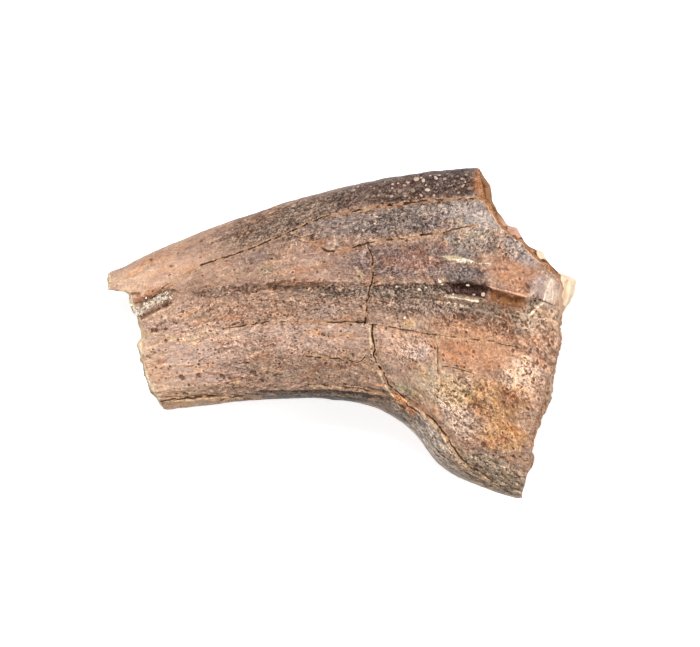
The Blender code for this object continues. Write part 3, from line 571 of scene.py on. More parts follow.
TEXTURES = {  # what each part of the skin is like: x, y, half length, half width, tilt, strength
    "pitted": (
        (-9.0, -1.6, 13.0, 4.8, 2, 0.6), (-5.0, 2.6, 12.0, 1.4, 2, 0.8), (19.5, -1.5, 3.0, 5.0, 0, 0.65),
        (13.5, -7.5, 4.5, 4.5, -30, 0.5), (2.0, 12.0, 9.0, 2.4, 9, 0.6), (7.0, -1.6, 3.0, 3.0, 0, 0.6),
        (4.0, 4.3, 7.0, 0.9, 0, 1.0), (15.5, -14.0, 5.0, 2.0, -30, 0.7),
    ),
    "speckled": (
        (7.5, 15.1, 8.0, 1.3, 8, 0.25), (-2.0, 13.2, 5.0, 1.0, 14, 0.7), (7.5, 11.6, 7.5, 1.8, 8, 0.8),
        (7.0, 4.4, 5.0, 0.8, 0, 0.8), (12.0, 6.6, 3.0, 1.5, 0, 0.5), (18.2, -4.5, 2.4, 2.4, 0, 0.75),
        (7.2, -1.8, 2.4, 1.4, 0, 0.7), (13.8, 9.6, 2.6, 1.4, 0, 0.9), (-3.5, 9.9, 2.5, 0.9, 12, 0.7),
        (-3.0, 2.6, 6.5, 1.1, 0, 0.5), (-8.0, 7.0, 3.0, 1.2, 14, 0.3), (11.5, -6.5, 3.0, 2.2, -40, 0.8),
        (6.5, 7.3, 6.5, 2.0, 0, 0.5), (7.8, 2.7, 5.5, 1.0, -3, 1.0), (8.6, 4.4, 2.2, 0.7, 0, 1.0),
        (9.8, 4.9, 1.2, 0.5, 0, 1.0), (20.0, 0.5, 2.2, 2.6, 0, 0.35), (15.0, -13.5, 4.0, 1.5, -30, 0.45),
        (-13.0, -2.0, 6.0, 3.0, 4, 0.2),
        (-11.5, 4.2, 4.0, 0.7, 5, 0.8), (0.0, 4.2, 4.5, 0.7, 0, 0.8), (6.3, -7.3, 2.0, 0.8, -42, 0.8),
        (8.6, -10.4, 4.5, 1.2, -48, 0.6), (12.5, -6.2, 4.0, 1.8, -20, 0.7), (-17.0, 0.4, 3.0, 1.2, 0, 0.6),
        (17.0, 8.8, 2.6, 1.4, -42, 0.7), (-6.0, 11.4, 8.0, 1.6, 17, 0.7), (13.5, 0.8, 4.5, 1.2, -12, 0.5),
        (14.5, -10.5, 4.0, 2.0, -30, 0.5),
    ),
    "fibrous": (
        (15.4, -14.4, 5.0, 2.2, -32, 1.0), (8.6, -10.2, 5.6, 1.7, -48, 0.8), (-4.0, -6.3, 17.0, 1.2, 0, 0.9),
        (-6.4, 12.2, 9.0, 1.9, 16, 0.7), (20.2, 0.0, 2.6, 4.0, -40, 0.6), (12.0, -9.0, 3.4, 2.4, -45, 0.5),
        (0.0, 4.6, 14.0, 1.0, 0, 0.6), (-12.0, -1.0, 9.0, 5.0, 4, 0.45), (8.0, 12.0, 8.0, 3.0, 8, 0.4),
    ),
    "smooth": (
        (-19.0, 6.5, 8.5, 3.4, 24, 0.75), (-10.0, 6.2, 5.5, 1.9, 12, 0.35), (17.6, 5.7, 3.4, 2.2, -24, 0.4),
        (13.4, -1.8, 4.6, 2.6, -8, 0.25), (17.0, 3.4, 2.6, 0.8, -18, 0.7), (-4.0, 0.0, 9.0, 1.3, 2, 0.25),
        (-17.0, -2.5, 4.8, 5.0, 0, 0.65), (12.7, 4.4, 2.5, 0.8, 0, 1.0), (-1.0, 6.6, 4.5, 1.4, 0, 0.3),
        (21.3, 4.0, 1.7, 1.8, 0, 1.0),
    ),
}
# The rim where the skin ends at the joint, on the upper side. The bone beyond it lies lower.
BASE_RIM = (
    (13.77, 17.72), (13.98, 13.82), (14.59, 13.00), (15.41, 11.78), (16.23, 10.55), (17.05, 9.73), (18.28, 8.91),
    (19.40, 7.58), (20.63, 6.60), (21.45, 5.84), (22.12, 5.02), (21.96, 3.99), (21.86, 2.76), (22.17, 1.74),
)
LARGE_PITS = (  # x, y and radius
    (-17.8, -0.9, 0.26), (-19.2, -1.95, 0.22), (-16.4, -4.67, 0.34), (-14.7, -4.4, 0.2), (-12.1, -4.5, 0.3),
    (-8.9, -4.2, 0.3), (-6.1, -3.35, 0.22), (-8.2, -4.8, 0.22), (-17.9, 0.4, 0.3), (-16.9, 1.1, 0.22),
    (-16.0, -6.2, 0.22), (-13.4, -6.45, 0.22), (-16.7, 8.2, 0.24), (-19.5, 7.6, 0.24), (-17.5, 6.8, 0.2),
    (-14.4, 7.8, 0.18), (-14.2, 9.6, 0.26), (-13.2, 9.2, 0.2), (-16.2, 2.2, 0.2), (-11.0, 0.9, 0.2),
    (-4.7, 3.9, 0.2), (-2.5, 3.0, 0.18), (6.6, 1.6, 0.2), (16.4, -7.0, 0.26), (11.6, -9.4, 0.26),
    (14.4, -11.2, 0.3), (17.2, -9.6, 0.22), (12.4, -10.6, 0.24), (19.0, -1.8, 0.24), (14.9, 0.6, 0.2),
    (17.6, -7.6, 0.2), (13.6, -6.9, 0.22), (18.6, 1.2, 0.26), (19.6, 2.2, 0.2), (12.85, -10.14, 0.24),
    (16.3, -12.7, 0.26), (13.5, -11.9, 0.24), (12.8, -11.8, 0.18), (18.6, -12.9, 0.2), (18.2, 0.8, 0.24),
    (17.1, -4.6, 0.2), (13.24, -9.05, 0.2), (14.44, -11.47, 0.22), (17.6, -12.5, 0.26), (10.85, -8.88, 0.2),
    (13.84, -10.87, 0.18), (14.87, -11.47, 0.2), (13.67, -13.95, 0.22), (10.51, -8.14, 0.18), (15.3, -12.4, 0.2),
    (18.3, -4.25, 0.22), (19.0, -3.9, 0.26), (19.5, -3.0, 0.22), (-19.1, 0.45, 0.3), (-16.8, 1.15, 0.2),
    (-14.1, -2.8, 0.2),
)


def bright(colour):
    """Red, green and blue from 0 to 255, as light, from 0 to 1."""
    part = np.array(colour) / 255
    return np.where(part <= 0.04045, part / 12.92, ((part + 0.055) / 1.055) ** 2.4)


def patch_cover(points, ragged, x, y, half_length, half_width, tilt):
    """How far each point is inside a long patch with a ragged edge: 1 in its middle, 0 outside."""
    turn = math.radians(tilt)
    dx, dy = points[:, 0] - x, points[:, 1] - y
    along = (dx * math.cos(turn) + dy * math.sin(turn)) / half_length
    across = (dy * math.cos(turn) - dx * math.sin(turn)) / half_width
    return 1 - ease(np.hypot(along, across) + 0.28 * ragged, 0.55, 1.25)


def stained(points, ragged, stains):
    colours = np.tile(bright(SKIN_COLOUR), (len(points), 1))
    for _, *shape, colour, strength in stains:
        cover = strength * patch_cover(points, ragged, *shape)[:, None]
        colours += cover * (bright(colour) - colours)
    return colours


def covered(points, ragged, patches):
    cover = np.zeros(len(points))
    for *shape, strength in patches:
        cover = np.maximum(cover, strength * patch_cover(points, ragged, *shape))
    return cover


def add_attribute(piece, name, kind, values):
    attribute = piece.data.attributes.new(name, kind, "POINT")
    attribute.data.foreach_set("value" if values.ndim == 1 else "vector" if kind == "FLOAT_VECTOR" else "color",
                               values.astype(np.float32).ravel())


places, normals = read_points(bone)
far, share = grain_places(places)
depth = distance_from(skin_tree, places, 0.0)
broken = ease(depth, 0.08, 0.3)
side = np.clip(3 * normals[:, 2], -1, 1)
upper_share = ease(side, -0.9, 0.2)
turned = 0.016 * np.maximum(far - 38, 0) ** 2 * ease(share, 0.3, 0.6)  # the grain runs down to the knob
grain = np.column_stack((far, 22 * share - turned, 0.6 * places[:, 2]))
ragged = 0.6 * lumps(grain, (2.2, 0.8, 1), 11) + 0.4 * lumps(grain, (0.7, 0.3, 1), 12)
away, over, opening, deep = crack_fields(places, normals[:, 2] > 0)
textures = {name: covered(places, ragged, patches) * (1 - broken) for name, patches in TEXTURES.items()}
pitted = textures["pitted"] * (1 - textures["smooth"] ** 3)
pitted = np.maximum(pitted, 0.25 * (1 - broken) * (1 - textures["smooth"]))
textures["pitted"] = pitted

height = 0.05 * lumps(grain, (6.0, 1.3, 1), 21) + 0.05 * lumps(grain, (2.4, 0.5, 0.6), 22)
height += 0.035 * lumps(grain, (0.9, 0.32, 0.3), 23) + 0.02 * lumps(places, (0.35, 0.35, 0.35), 24)
_, _, beyond_rim, _ = nearest_lines(places, np.ones(len(places), bool), ((1, 2.0, BASE_RIM),), 0.09, 4.0)
beyond_rim[(np.abs(beyond_rim) > 8) | (places[:, 0] < JOINT_BREAK)] = -4
beyond_rim = np.clip(beyond_rim, -4, 4) - 4 * (2 - ease(places[:, 2], 1.5, 3.0) - ease(places[:, 1], 1.2, 1.8))
mark_number, mark_over = mark_fields(places, normals[:, 2] > 0)
height += upper_share * column(MARKS, 2)[mark_number] * (1 - ease(np.abs(mark_over), 0.3, 1.5))
height *= 1 - broken
height -= deep * opening * np.clip(1 - np.abs(over), 0, 1) * (away < 0.5)
height -= 0.05 * np.exp(-(away / 0.25) ** 2) * (1 - opening) * (away < 1)

# Small pits, densest where the skin is pitted, and each large pit as four pits close together.
SMALL_PIT_TRIES = 6000
random = np.random.default_rng(7)
centres = random.choice(len(places), SMALL_PIT_TRIES, replace=False)
centres = centres[random.random(len(centres)) < pitted[centres]]
upper_points = np.flatnonzero(normals[:, 2] > 0.3)
large = [upper_points[np.argmin(np.hypot(*(places[upper_points, :2] - (x, y)).T))] for x, y, _ in LARGE_PITS]
spots = np.repeat(places[large], 4, axis=0)
sizes = np.repeat([radius for *_, radius in LARGE_PITS], 4) * random.uniform(0.45, 0.85, len(spots))
spots[:, :2] += random.normal(0, 1, (len(spots), 2)) * sizes[:, None] * (0.9, 0.5)
radii = np.concatenate((random.uniform(0.1, 0.18, len(centres)), sizes))
depths = np.concatenate((random.uniform(0.04, 0.13, len(centres)), 0.6 * sizes))
dug = dig(places, np.concatenate((places[centres], spots)), radii, depths)

# The broken ends are rough, and spongy in the core. At the joint, the bone beyond the rim lies lower.
inside = ease(depth, 0.3, 1.6)
rough = np.zeros(len(places))
for rise, more_inside, size, seed in ((0.05, 0.15, 1.3, 31), (0.05, 0.1, 0.5, 32), (0.04, 0.0, 0.22, 33)):
    rough += (rise + more_inside * inside) * lumps(places, (size, size, size), seed)
height += broken * rough * (1 - 0.85 * ease(beyond_rim, 0, 0.3))
core = np.flatnonzero((depth > 1.6) & (beyond_rim < 0))
pores = random.choice(core, len(core) // 12, replace=False)
dug += dig(places, places[pores], random.uniform(0.14, 0.34, len(pores)), random.uniform(0.1, 0.3, len(pores)))
drop = (0.2 * ease(beyond_rim, 0, 0.3) + 0.6 * ease(beyond_rim, 0.55, 0.9)) * (1 - ease(beyond_rim, 1.2, 2.2))
height -= dug + ease(normals[:, 2], 0.1, 0.5) * drop
height[places[:, 2] < 0.02] = np.minimum(height[places[:, 2] < 0.02], 0)
carved = places + normals * height[:, None]
# The tongue at the tip is broken off square: its end's corners are drawn out.
carved[:, 0] -= 0.34 * ease(-places[:, 0], 22.6, 23.6) * np.clip((places[:, 1] - 5.3) ** 2, 0, 1)
write_points(bone, carved)

colours = upper_share[:, None] * stained(places, ragged, STAINS)
colours += (1 - upper_share[:, None]) * stained(places, ragged, UNDER_STAINS)
mark_colours = np.array([[*bright(colour), strength] for *_, colour, strength, _ in MARKS])[mark_number]
mark_colours[:, 3] *= upper_share * (np.abs(mark_over) < 4)
add_attribute(bone, "stain", "FLOAT_COLOR", np.column_stack((colours, np.ones(len(places)))))
add_attribute(bone, "grain", "FLOAT_VECTOR", grain)
add_attribute(bone, "mark", "FLOAT_COLOR", mark_colours)
numbers = {
    **textures, "mark_over": mark_over, "mark_ragged": np.clip(1.3 * column(MARKS, 1)[mark_number], 0.25, 1.0),
    "beyond_rim": beyond_rim, "dug": dug, "depth": depth,
    "crack_away": away, "crack_over": over, "crack_open": opening,
}
for name, values in numbers.items():
    add_attribute(bone, name, "FLOAT", values)

triangles = sum(len(face.vertices) - 2 for face in bone.data.polygons)
apply_modifier(bone, "DECIMATE", ratio=min(1, MOST_TRIANGLES / triangles))
bpy.ops.object.select_all(action="DESELECT")
bone.select_set(True)
bpy.ops.object.shade_smooth()


class Finish:
    """A material that is built up in layers. `here` is the place in millimetres, and `colour` is the colour so far.
    Inputs are numbers or the outputs of other nodes. Paints are red, green and blue from 0 to 255."""

    def __init__(self, name):
        self.material = bpy.data.materials.new(name)
        self.material.use_nodes = True
        self.tree = self.material.node_tree
        self.surface = self.tree.nodes["Principled BSDF"].inputs
        self.here = self.stretch(self.add("TexCoord").outputs["Object"], (1000, 1000, 1000))
        self.colour = None

    def add(self, kind, inputs=None, **settings):
        node = self.tree.nodes.new("ShaderNode" + kind)
        for name, value in settings.items():
            setattr(node, name, value)
        for name, value in (inputs or {}).items():
            self.feed(node.inputs[name], value)
        return node

    def feed(self, socket, value):
        if isinstance(value, bpy.types.NodeSocket):
            self.tree.links.new(value, socket)
        else:
            socket.default_value = value

    def attribute(self, name, output="Fac"):
        return self.add("Attribute", attribute_name=name).outputs[output]

    def work_out(self, operation, first, second=0.0):
        return self.add("Math", {0: first, 1: second}, operation=operation).outputs[0]

    def times(self, first, second):
        return self.work_out("MULTIPLY", first, second)

    def plus(self, first, second):
        return self.work_out("ADD", first, second)

    def ramp(self, value, low, high, bottom=0.0, top=1.0):
        """The value moved from one range to another, with soft ends."""
        inputs = {"Value": value, "From Min": low, "From Max": high, "To Min": bottom, "To Max": top}
        return self.add("MapRange", inputs, interpolation_type="SMOOTHSTEP").outputs[0]

    def noise(self, vector, scale, detail=2.0, roughness=0.5, distortion=0.0):
        inputs = {"Vector": vector, "Scale": scale, "Detail": detail, "Roughness": roughness, "Distortion": distortion}
        return self.add("TexNoise", inputs).outputs["Fac"]

    def stretch(self, vector, scale, place=0.0):
        return self.add("Mapping", {"Vector": vector, "Scale": scale, "Location": (place,) * 3}).outputs[0]

    def blend(self, share, first, second):
        """The first paint with this share of the second."""
        first, second = ((*bright(paint), 1) if isinstance(paint, tuple) else paint for paint in (first, second))
        return self.add("Mix", {0: share, 6: first, 7: second}, data_type="RGBA").outputs[2]

    def tint(self, share, tint):
        """The colour so far, with this share of it multiplied by the tint."""
        inputs = {0: share, 6: self.colour, 7: (*tint, 1)}
        return self.add("Mix", inputs, data_type="RGBA", blend_type="MULTIPLY").outputs[2]

    def shade(self, share, tint):
        self.colour = self.tint(share, tint)

    def cover(self, share, paint):
        self.colour = self.blend(share, self.colour, paint)

    def cover_paler(self, share, tint, paint, paint_share=0.4):
        """Covers this share with the colour so far, lightened by the tint and mixed with a paint."""
        self.cover(share, self.blend(paint_share, self.tint(1.0, tint), paint))


def cover_with_stains(look, lines, fine, medium):
    """The stains, blotches of other minerals and the marks."""
    ramp, times, plus = look.ramp, look.times, look.plus
    look.colour = look.attribute("stain", "Color")

    # The blotches are orange, mauve-grey and cream. They follow the grain, and are weaker where it is fibrous.
    blotchy = ramp(look.attribute("fibrous"), 0.3, 0.9, 1.0, 0.35)
    blotches = (11.0, 0.85, (1.12, 0.9, 0.68)), (37.0, 0.85, (0.78, 0.74, 0.76)), (71.0, 0.65, (1.24, 1.22, 1.14))
    for place, amount, tint in blotches:
        moved = look.stretch(lines, (0.33, 0.95, 1.0), place)
        blotch = ramp(look.noise(moved, 1.0, 5, 0.62, 0.4), 0.5, 0.66, 0.0, amount)
        look.shade(times(blotch, blotchy), tint)

    # The marks have ragged edges.
    ragged = plus(times(plus(fine, -0.5), 2.5), times(plus(medium, -0.5), 3.5))
    ragged = times(ragged, look.attribute("mark_ragged"))
    mark_over = plus(look.work_out("ABSOLUTE", look.attribute("mark_over")), ragged)
    mark = times(ramp(mark_over, 1.45, 0.6), look.attribute("mark", "Alpha"))
    look.cover(mark, look.attribute("mark", "Color"))


def cover_with_texture(look, lines, fine_lines, fine, medium, finest):
    """Fibres, mottling, pale threads, flecks, pits and specks. Gives the relief that goes with them."""
    ramp, times, plus = look.ramp, look.times, look.plus
    smooth, speckled, pitted = (look.attribute(name) for name in ("smooth", "speckled", "pitted"))

    # Dark and pale fibres along the grain.
    fibrous = look.work_out("MAXIMUM", look.attribute("fibrous"), 0.08)
    fibrous = times(fibrous, ramp(smooth, 0.0, 0.8, 1.0, 0.25))
    fibre = look.noise(look.stretch(lines, (0.8, 2.9, 3.0)), 1.0, 3, 0.6, 0.5)
    look.shade(times(ramp(fibre, 0.48, 0.39), fibrous), (0.38, 0.31, 0.27))
    look.shade(times(ramp(fibre, 0.53, 0.61), fibrous), (1.9, 1.78, 1.62))

    # Clumps, then fine mottling, strongest where the skin is rough.
    rough = look.work_out("MAXIMUM", speckled, times(pitted, 0.4))
    strength = plus(times(look.work_out("SUBTRACT", 1.0, smooth), 0.32), times(rough, 0.75))
    strength = times(plus(strength, 0.27), ramp(look.noise(lines, 0.5, 2), 0.3, 0.65, 0.7, 1.0))
    look.shade(times(ramp(medium, 0.5, 0.38), strength), (0.68, 0.63, 0.59))
    look.shade(times(ramp(medium, 0.52, 0.62), strength), (1.28, 1.23, 1.18))
    mottle = plus(times(fine, 0.6), times(finest, 0.4))
    look.shade(times(ramp(mottle, 0.49, 0.43), strength), (0.38, 0.29, 0.24))
    look.cover_paler(times(ramp(mottle, 0.53, 0.59), strength), (1.85, 1.75, 1.65), (236, 206, 184), 0.3)

    # Pale wormy threads.
    worm = look.noise(look.stretch(fine_lines, (1.0, 1.0, 1.0), 5.0), 0.7, 2, 0.5, 1.6)
    worm = ramp(look.work_out("ABSOLUTE", plus(worm, -0.5)), 0.075, 0.025)
    worm = times(worm, ramp(look.noise(look.stretch(fine_lines, (1.0, 1.0, 1.0), 9.0), 0.5, 2), 0.46, 0.56))
    worm = times(worm, plus(times(strength, 0.6), times(speckled, 0.5)))
    look.cover_paler(worm, (2.0, 1.9, 1.8), (230, 206, 190))

    # Dark hollows and whitish flecks, where the skin is speckled.
    fleck = look.noise(look.stretch(fine_lines, (1.0, 1.0, 1.0), 21.0), 0.9, 4, 0.7, 1.2)
    marked = plus(times(strength, 0.4), times(speckled, 0.6))
    look.shade(times(ramp(fleck, 0.42, 0.36), marked), (0.42, 0.34, 0.29))
    flecked = times(ramp(fleck, 0.57, 0.63), marked)
    look.cover_paler(flecked, (2.3, 2.15, 2.0), (240, 220, 204))

    # Small dark pits, with a pale rim round each as a painted highlight.
    cells = look.add("TexVoronoi", {"Vector": fine_lines, "Scale": 0.9, "Randomness": 1.0}).outputs
    kept = plus(look.add("SeparateColor", {0: cells["Color"]}).outputs[0], times(pitted, 0.75))
    kept = ramp(kept, 0.98, 1.03)
    look.shade(times(times(ramp(cells["Distance"], 0.52, 0.36), kept), 0.7), (1.6, 1.52, 1.44))
    pit = times(ramp(cells["Distance"], 0.32, 0.18), kept)
    pit = look.work_out("MAXIMUM", pit, ramp(look.attribute("dug"), 0.01, 0.09))
    look.cover(times(pit, 0.85), look.blend(0.5, (98, 62, 44), look.tint(1.0, (0.3, 0.24, 0.2))))

    # Pale specks.
    cells = look.add("TexVoronoi", {"Vector": look.here, "Scale": 2.2, "Randomness": 1.0}).outputs
    kept = ramp(look.add("SeparateColor", {0: cells["Color"]}).outputs[1], 0.5, 0.52)
    speck = times(times(ramp(cells["Distance"], 0.4, 0.24), kept), speckled)
    look.cover_paler(times(speck, 0.75), (1.7, 1.6, 1.5), (216, 190, 172))

    relief = times(plus(times(mottle, 1.2), medium), strength)
    relief = plus(relief, plus(times(worm, 0.35), plus(times(plus(speck, flecked), 0.25), times(pit, -0.4))))
    return plus(relief, times(times(fibre, fibrous), 0.8))


def cover_cracks(look, fine, medium):
    """The cracks, dark inside or filled with tan dirt, with pale or rusty lips."""
    ramp, times, plus = look.ramp, look.times, look.plus
    away = look.attribute("crack_away")
    over = plus(look.work_out("ABSOLUTE", look.attribute("crack_over")), times(plus(fine, -0.5), 1.1))
    lips = times(ramp(plus(away, times(plus(medium, -0.5), 0.4)), 0.27, 0.11), ramp(fine, 0.43, 0.53))
    look.cover(times(lips, 0.8), look.blend(ramp(medium, 0.42, 0.6), (206, 158, 122), (240, 208, 172)))
    inside = times(ramp(over, 1.3, 0.7), ramp(away, 0.34, 0.22))
    look.cover(times(inside, 0.8), (184, 134, 98))
    look.cover(times(times(inside, look.attribute("crack_open")), 0.85), (62, 38, 26))


def cover_broken_ends(look, fine, medium):
    """Cut bone at both ends: a dense rim, brown at the joint and cream at the tip, round a cream core. Gives how
    broken and how far beyond the rim each place is."""
    ramp, times, plus, blend = look.ramp, look.times, look.plus, look.blend
    along, across, _ = look.add("SeparateXYZ", {0: look.here}).outputs
    depth = look.attribute("depth")
    skin = look.colour
    rim_brown = blend(ramp(fine, 0.42, 0.58), (148, 108, 82), (220, 180, 148))
    rim = blend(ramp(along, -5, 5), (246, 222, 182), rim_brown)
    skin_width = ramp(along, -5, 5, 0.45, 1.5)
    look.colour = blend(ramp(depth, skin_width, plus(skin_width, 0.35)), rim, (236, 212, 184))
    streak = look.noise(look.stretch(look.here, (1.2, 0.5, 1.2)), 1.2, 4, 0.6)
    look.shade(ramp(streak, 0.6, 0.42, 0.0, 0.7), (0.8, 0.62, 0.52))
    look.shade(ramp(depth, 1.6, 3.0, 0.0, 0.7), (0.66, 0.54, 0.45))
    look.cover(ramp(look.attribute("dug"), 0.02, 0.25), (120, 84, 60))
    broken = ramp(depth, 0.08, 0.3)
    look.colour = blend(broken, skin, look.colour)

    # Beyond the rim at the joint: an orange-brown band, then cream bone, pinkish and then brown towards the back edge.
    beyond = look.attribute("beyond_rim")
    nub = blend(ramp(streak, 0.35, 0.6), (252, 218, 184), (255, 236, 206))
    nub = blend(ramp(across, 8.7, 9.4), nub, (214, 170, 146))
    nub = blend(ramp(across, 11.0, 12.2), nub, (158, 114, 80))
    edge = plus(beyond, times(plus(medium, -0.5), 0.5))
    band = blend(ramp(fine, 0.42, 0.6), (150, 98, 62), (204, 146, 102))
    # painted highlight: a pale line along the edge of the rim, orange towards the back corner
    line = blend(ramp(across, 12.0, 14.0), (240, 208, 178), (196, 134, 96))
    band = blend(ramp(edge, 0.1, 0.04), band, line)
    band = blend(ramp(edge, 0.54, 0.62), band, (104, 70, 46))
    band = blend(ramp(across, 5.2, 4.4, 0.0, 0.75), band, (226, 188, 158))
    band = blend(ramp(beyond, 0.7, 0.8), band, nub)
    look.cover(ramp(edge, -0.05, 0.02), band)
    look.cover(ramp(beyond, 0.4, 0.5), band)
    return broken, beyond


def fossil_bone_material():
    """Mottled brown fossil bone, with dark pits, pale specks and a soft shine."""
    look = Finish("fossil bone")
    lines = look.attribute("grain", "Vector")
    fine_lines = look.stretch(lines, (1.8, 2.5, 3.0))
    fine = look.noise(fine_lines, 1.5, 3, 0.6, 1.2)
    medium = look.noise(fine_lines, 0.62, 3, 0.6, 1.0)
    finest = look.noise(look.here, 4.0, 2, 0.5, 0.6)
    cover_with_stains(look, lines, fine, medium)
    relief = cover_with_texture(look, lines, fine_lines, fine, medium, finest)
    cover_cracks(look, fine, medium)
    broken, beyond = cover_broken_ends(look, fine, medium)
    shine = look.ramp(finest, 0.3, 0.7, 0.34, 0.62)
    look.feed(look.surface["Base Color"], look.colour)
    look.feed(look.surface["Roughness"], look.work_out("MAXIMUM", shine, look.times(broken, 0.8)))
    look.feed(look.surface["Specular IOR Level"], 0.22)
    relief = look.times(relief, look.ramp(beyond, 0.5, 0.8, 1.0, 0.15))
    bump = look.add("Bump", {"Strength": 1.0, "Distance": 0.00028, "Height": relief})
    look.feed(look.surface["Normal"], bump.outputs[0])
    return look.material


bone.data.materials.clear()
bone.data.materials.append(fossil_bone_material())
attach(bone, "root")
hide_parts("fossil_claw")

# ---------------------------------------------------------------------------------------------------------------
# The crystals in the vessel groove at the tip: a crust of tiny white quartz points, grown on the bone.
# Sizes in millimetres.
CHANNEL = (  # points along the bed that they grow on
    (-21.45, 2.46), (-21.04, 2.15), (-20.53, 2.41), (-19.81, 2.87), (-18.89, 3.35), (-18.18, 3.73), (-17.36, 4.07),
)
CRYSTALS = 620
CROWDING = 1.25  # above 1, they stand closer together towards the broken end
BED_HALF_WIDTH = 0.24
ACROSS_BED = np.array((0.45, -0.89))

bone_places, bone_normals = read_points(bone)
bone_tree = BVHTree.FromPolygons([tuple(p) for p in bone_places], [list(f.vertices) for f in bone.data.polygons])


def top_of_bone(x, y):
    """The point of the upper side at that place, and which way it faces."""
    spot, facing, _, _ = bone_tree.ray_cast(Vector((x, y, 40.0)), Vector((0, 0, -1)))
    return spot, facing


def join_pieces(pieces, name):
    """One object of them all, with its place in its mesh."""
    bpy.ops.object.select_all(action="DESELECT")
    for piece in pieces:
        piece.select_set(True)
    bpy.context.view_layer.objects.active = pieces[0]
    bpy.ops.object.join()
    bpy.ops.object.transform_apply(location=True, rotation=True, scale=True)
    pieces[0].name = pieces[0].data.name = name
    return pieces[0]


def place_copy(pattern, spot, facing, turn, size):
    """A copy of the pattern with its own mesh, standing on that spot."""
    copied = pattern.copy()
    copied.data = pattern.data.copy()
    bpy.context.scene.collection.objects.link(copied)
    copied.location = spot * MM
    copied.rotation_mode = "QUATERNION"
    copied.rotation_quaternion = facing.to_track_quat("Z", "Y") @ Quaternion((0, 0, 1), turn)
    copied.scale = Vector(size) * MM
    return copied


bpy.ops.object.select_all(action="DESELECT")
bpy.ops.mesh.primitive_cylinder_add(vertices=6, radius=0.5, depth=1.0, location=(0, 0, 0))
crystal = bpy.context.object
bpy.ops.object.mode_set(mode="EDIT")
bpy.ops.mesh.select_mode(type="FACE")
bpy.ops.mesh.select_all(action="DESELECT")
bpy.ops.object.mode_set(mode="OBJECT")
for face in crystal.data.polygons:
    face.select = face.normal.z > 0.9
bpy.ops.object.mode_set(mode="EDIT")
bpy.ops.mesh.extrude_region_move(TRANSFORM_OT_translate={"value": (0, 0, 0.4)})
bpy.ops.transform.resize(value=(0.12, 0.12, 1))
bpy.ops.object.mode_set(mode="OBJECT")

crystals = []
for number in range(CRYSTALS):
    along = random.random() ** CROWDING * (len(CHANNEL) - 1)
    first = min(int(along), len(CHANNEL) - 2)
    start, end = np.array(CHANNEL[first]), np.array(CHANNEL[first + 1])
    x, y = start + (along - first) * (end - start) + random.normal(0, BED_HALF_WIDTH) * ACROSS_BED
    spot, facing = top_of_bone(x, y)
    if spot is None or facing.z < 0.2:
        continue
    facing = (facing + Vector(random.normal(0, 0.35, 3))).normalized()
    width = random.uniform(0.08, 0.18)
    turn = random.uniform(0, 1)
    height = width * random.uniform(0.9, 1.7)
    crystals.append(place_copy(crystal, spot, facing, turn, (width, width, height)))
bpy.data.objects.remove(crystal)
druse = join_pieces(crystals, "druse")


def quartz_material():
    """Milky quartz, with brown dirt between the points."""
    look = Finish("milky quartz")
    dirt = look.ramp(look.noise(look.here, 2.6, 3, 0.6), 0.44, 0.6)
    look.feed(look.surface["Base Color"], look.blend(dirt, (255, 246, 230), (160, 128, 100)))
    look.feed(look.surface["Roughness"], look.ramp(dirt, 0.0, 1.0, 0.12, 0.5))
    look.feed(look.surface["Specular IOR Level"], 0.6)
    return look.material


druse.data.materials.clear()
druse.data.materials.append(quartz_material())
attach(druse, "root")

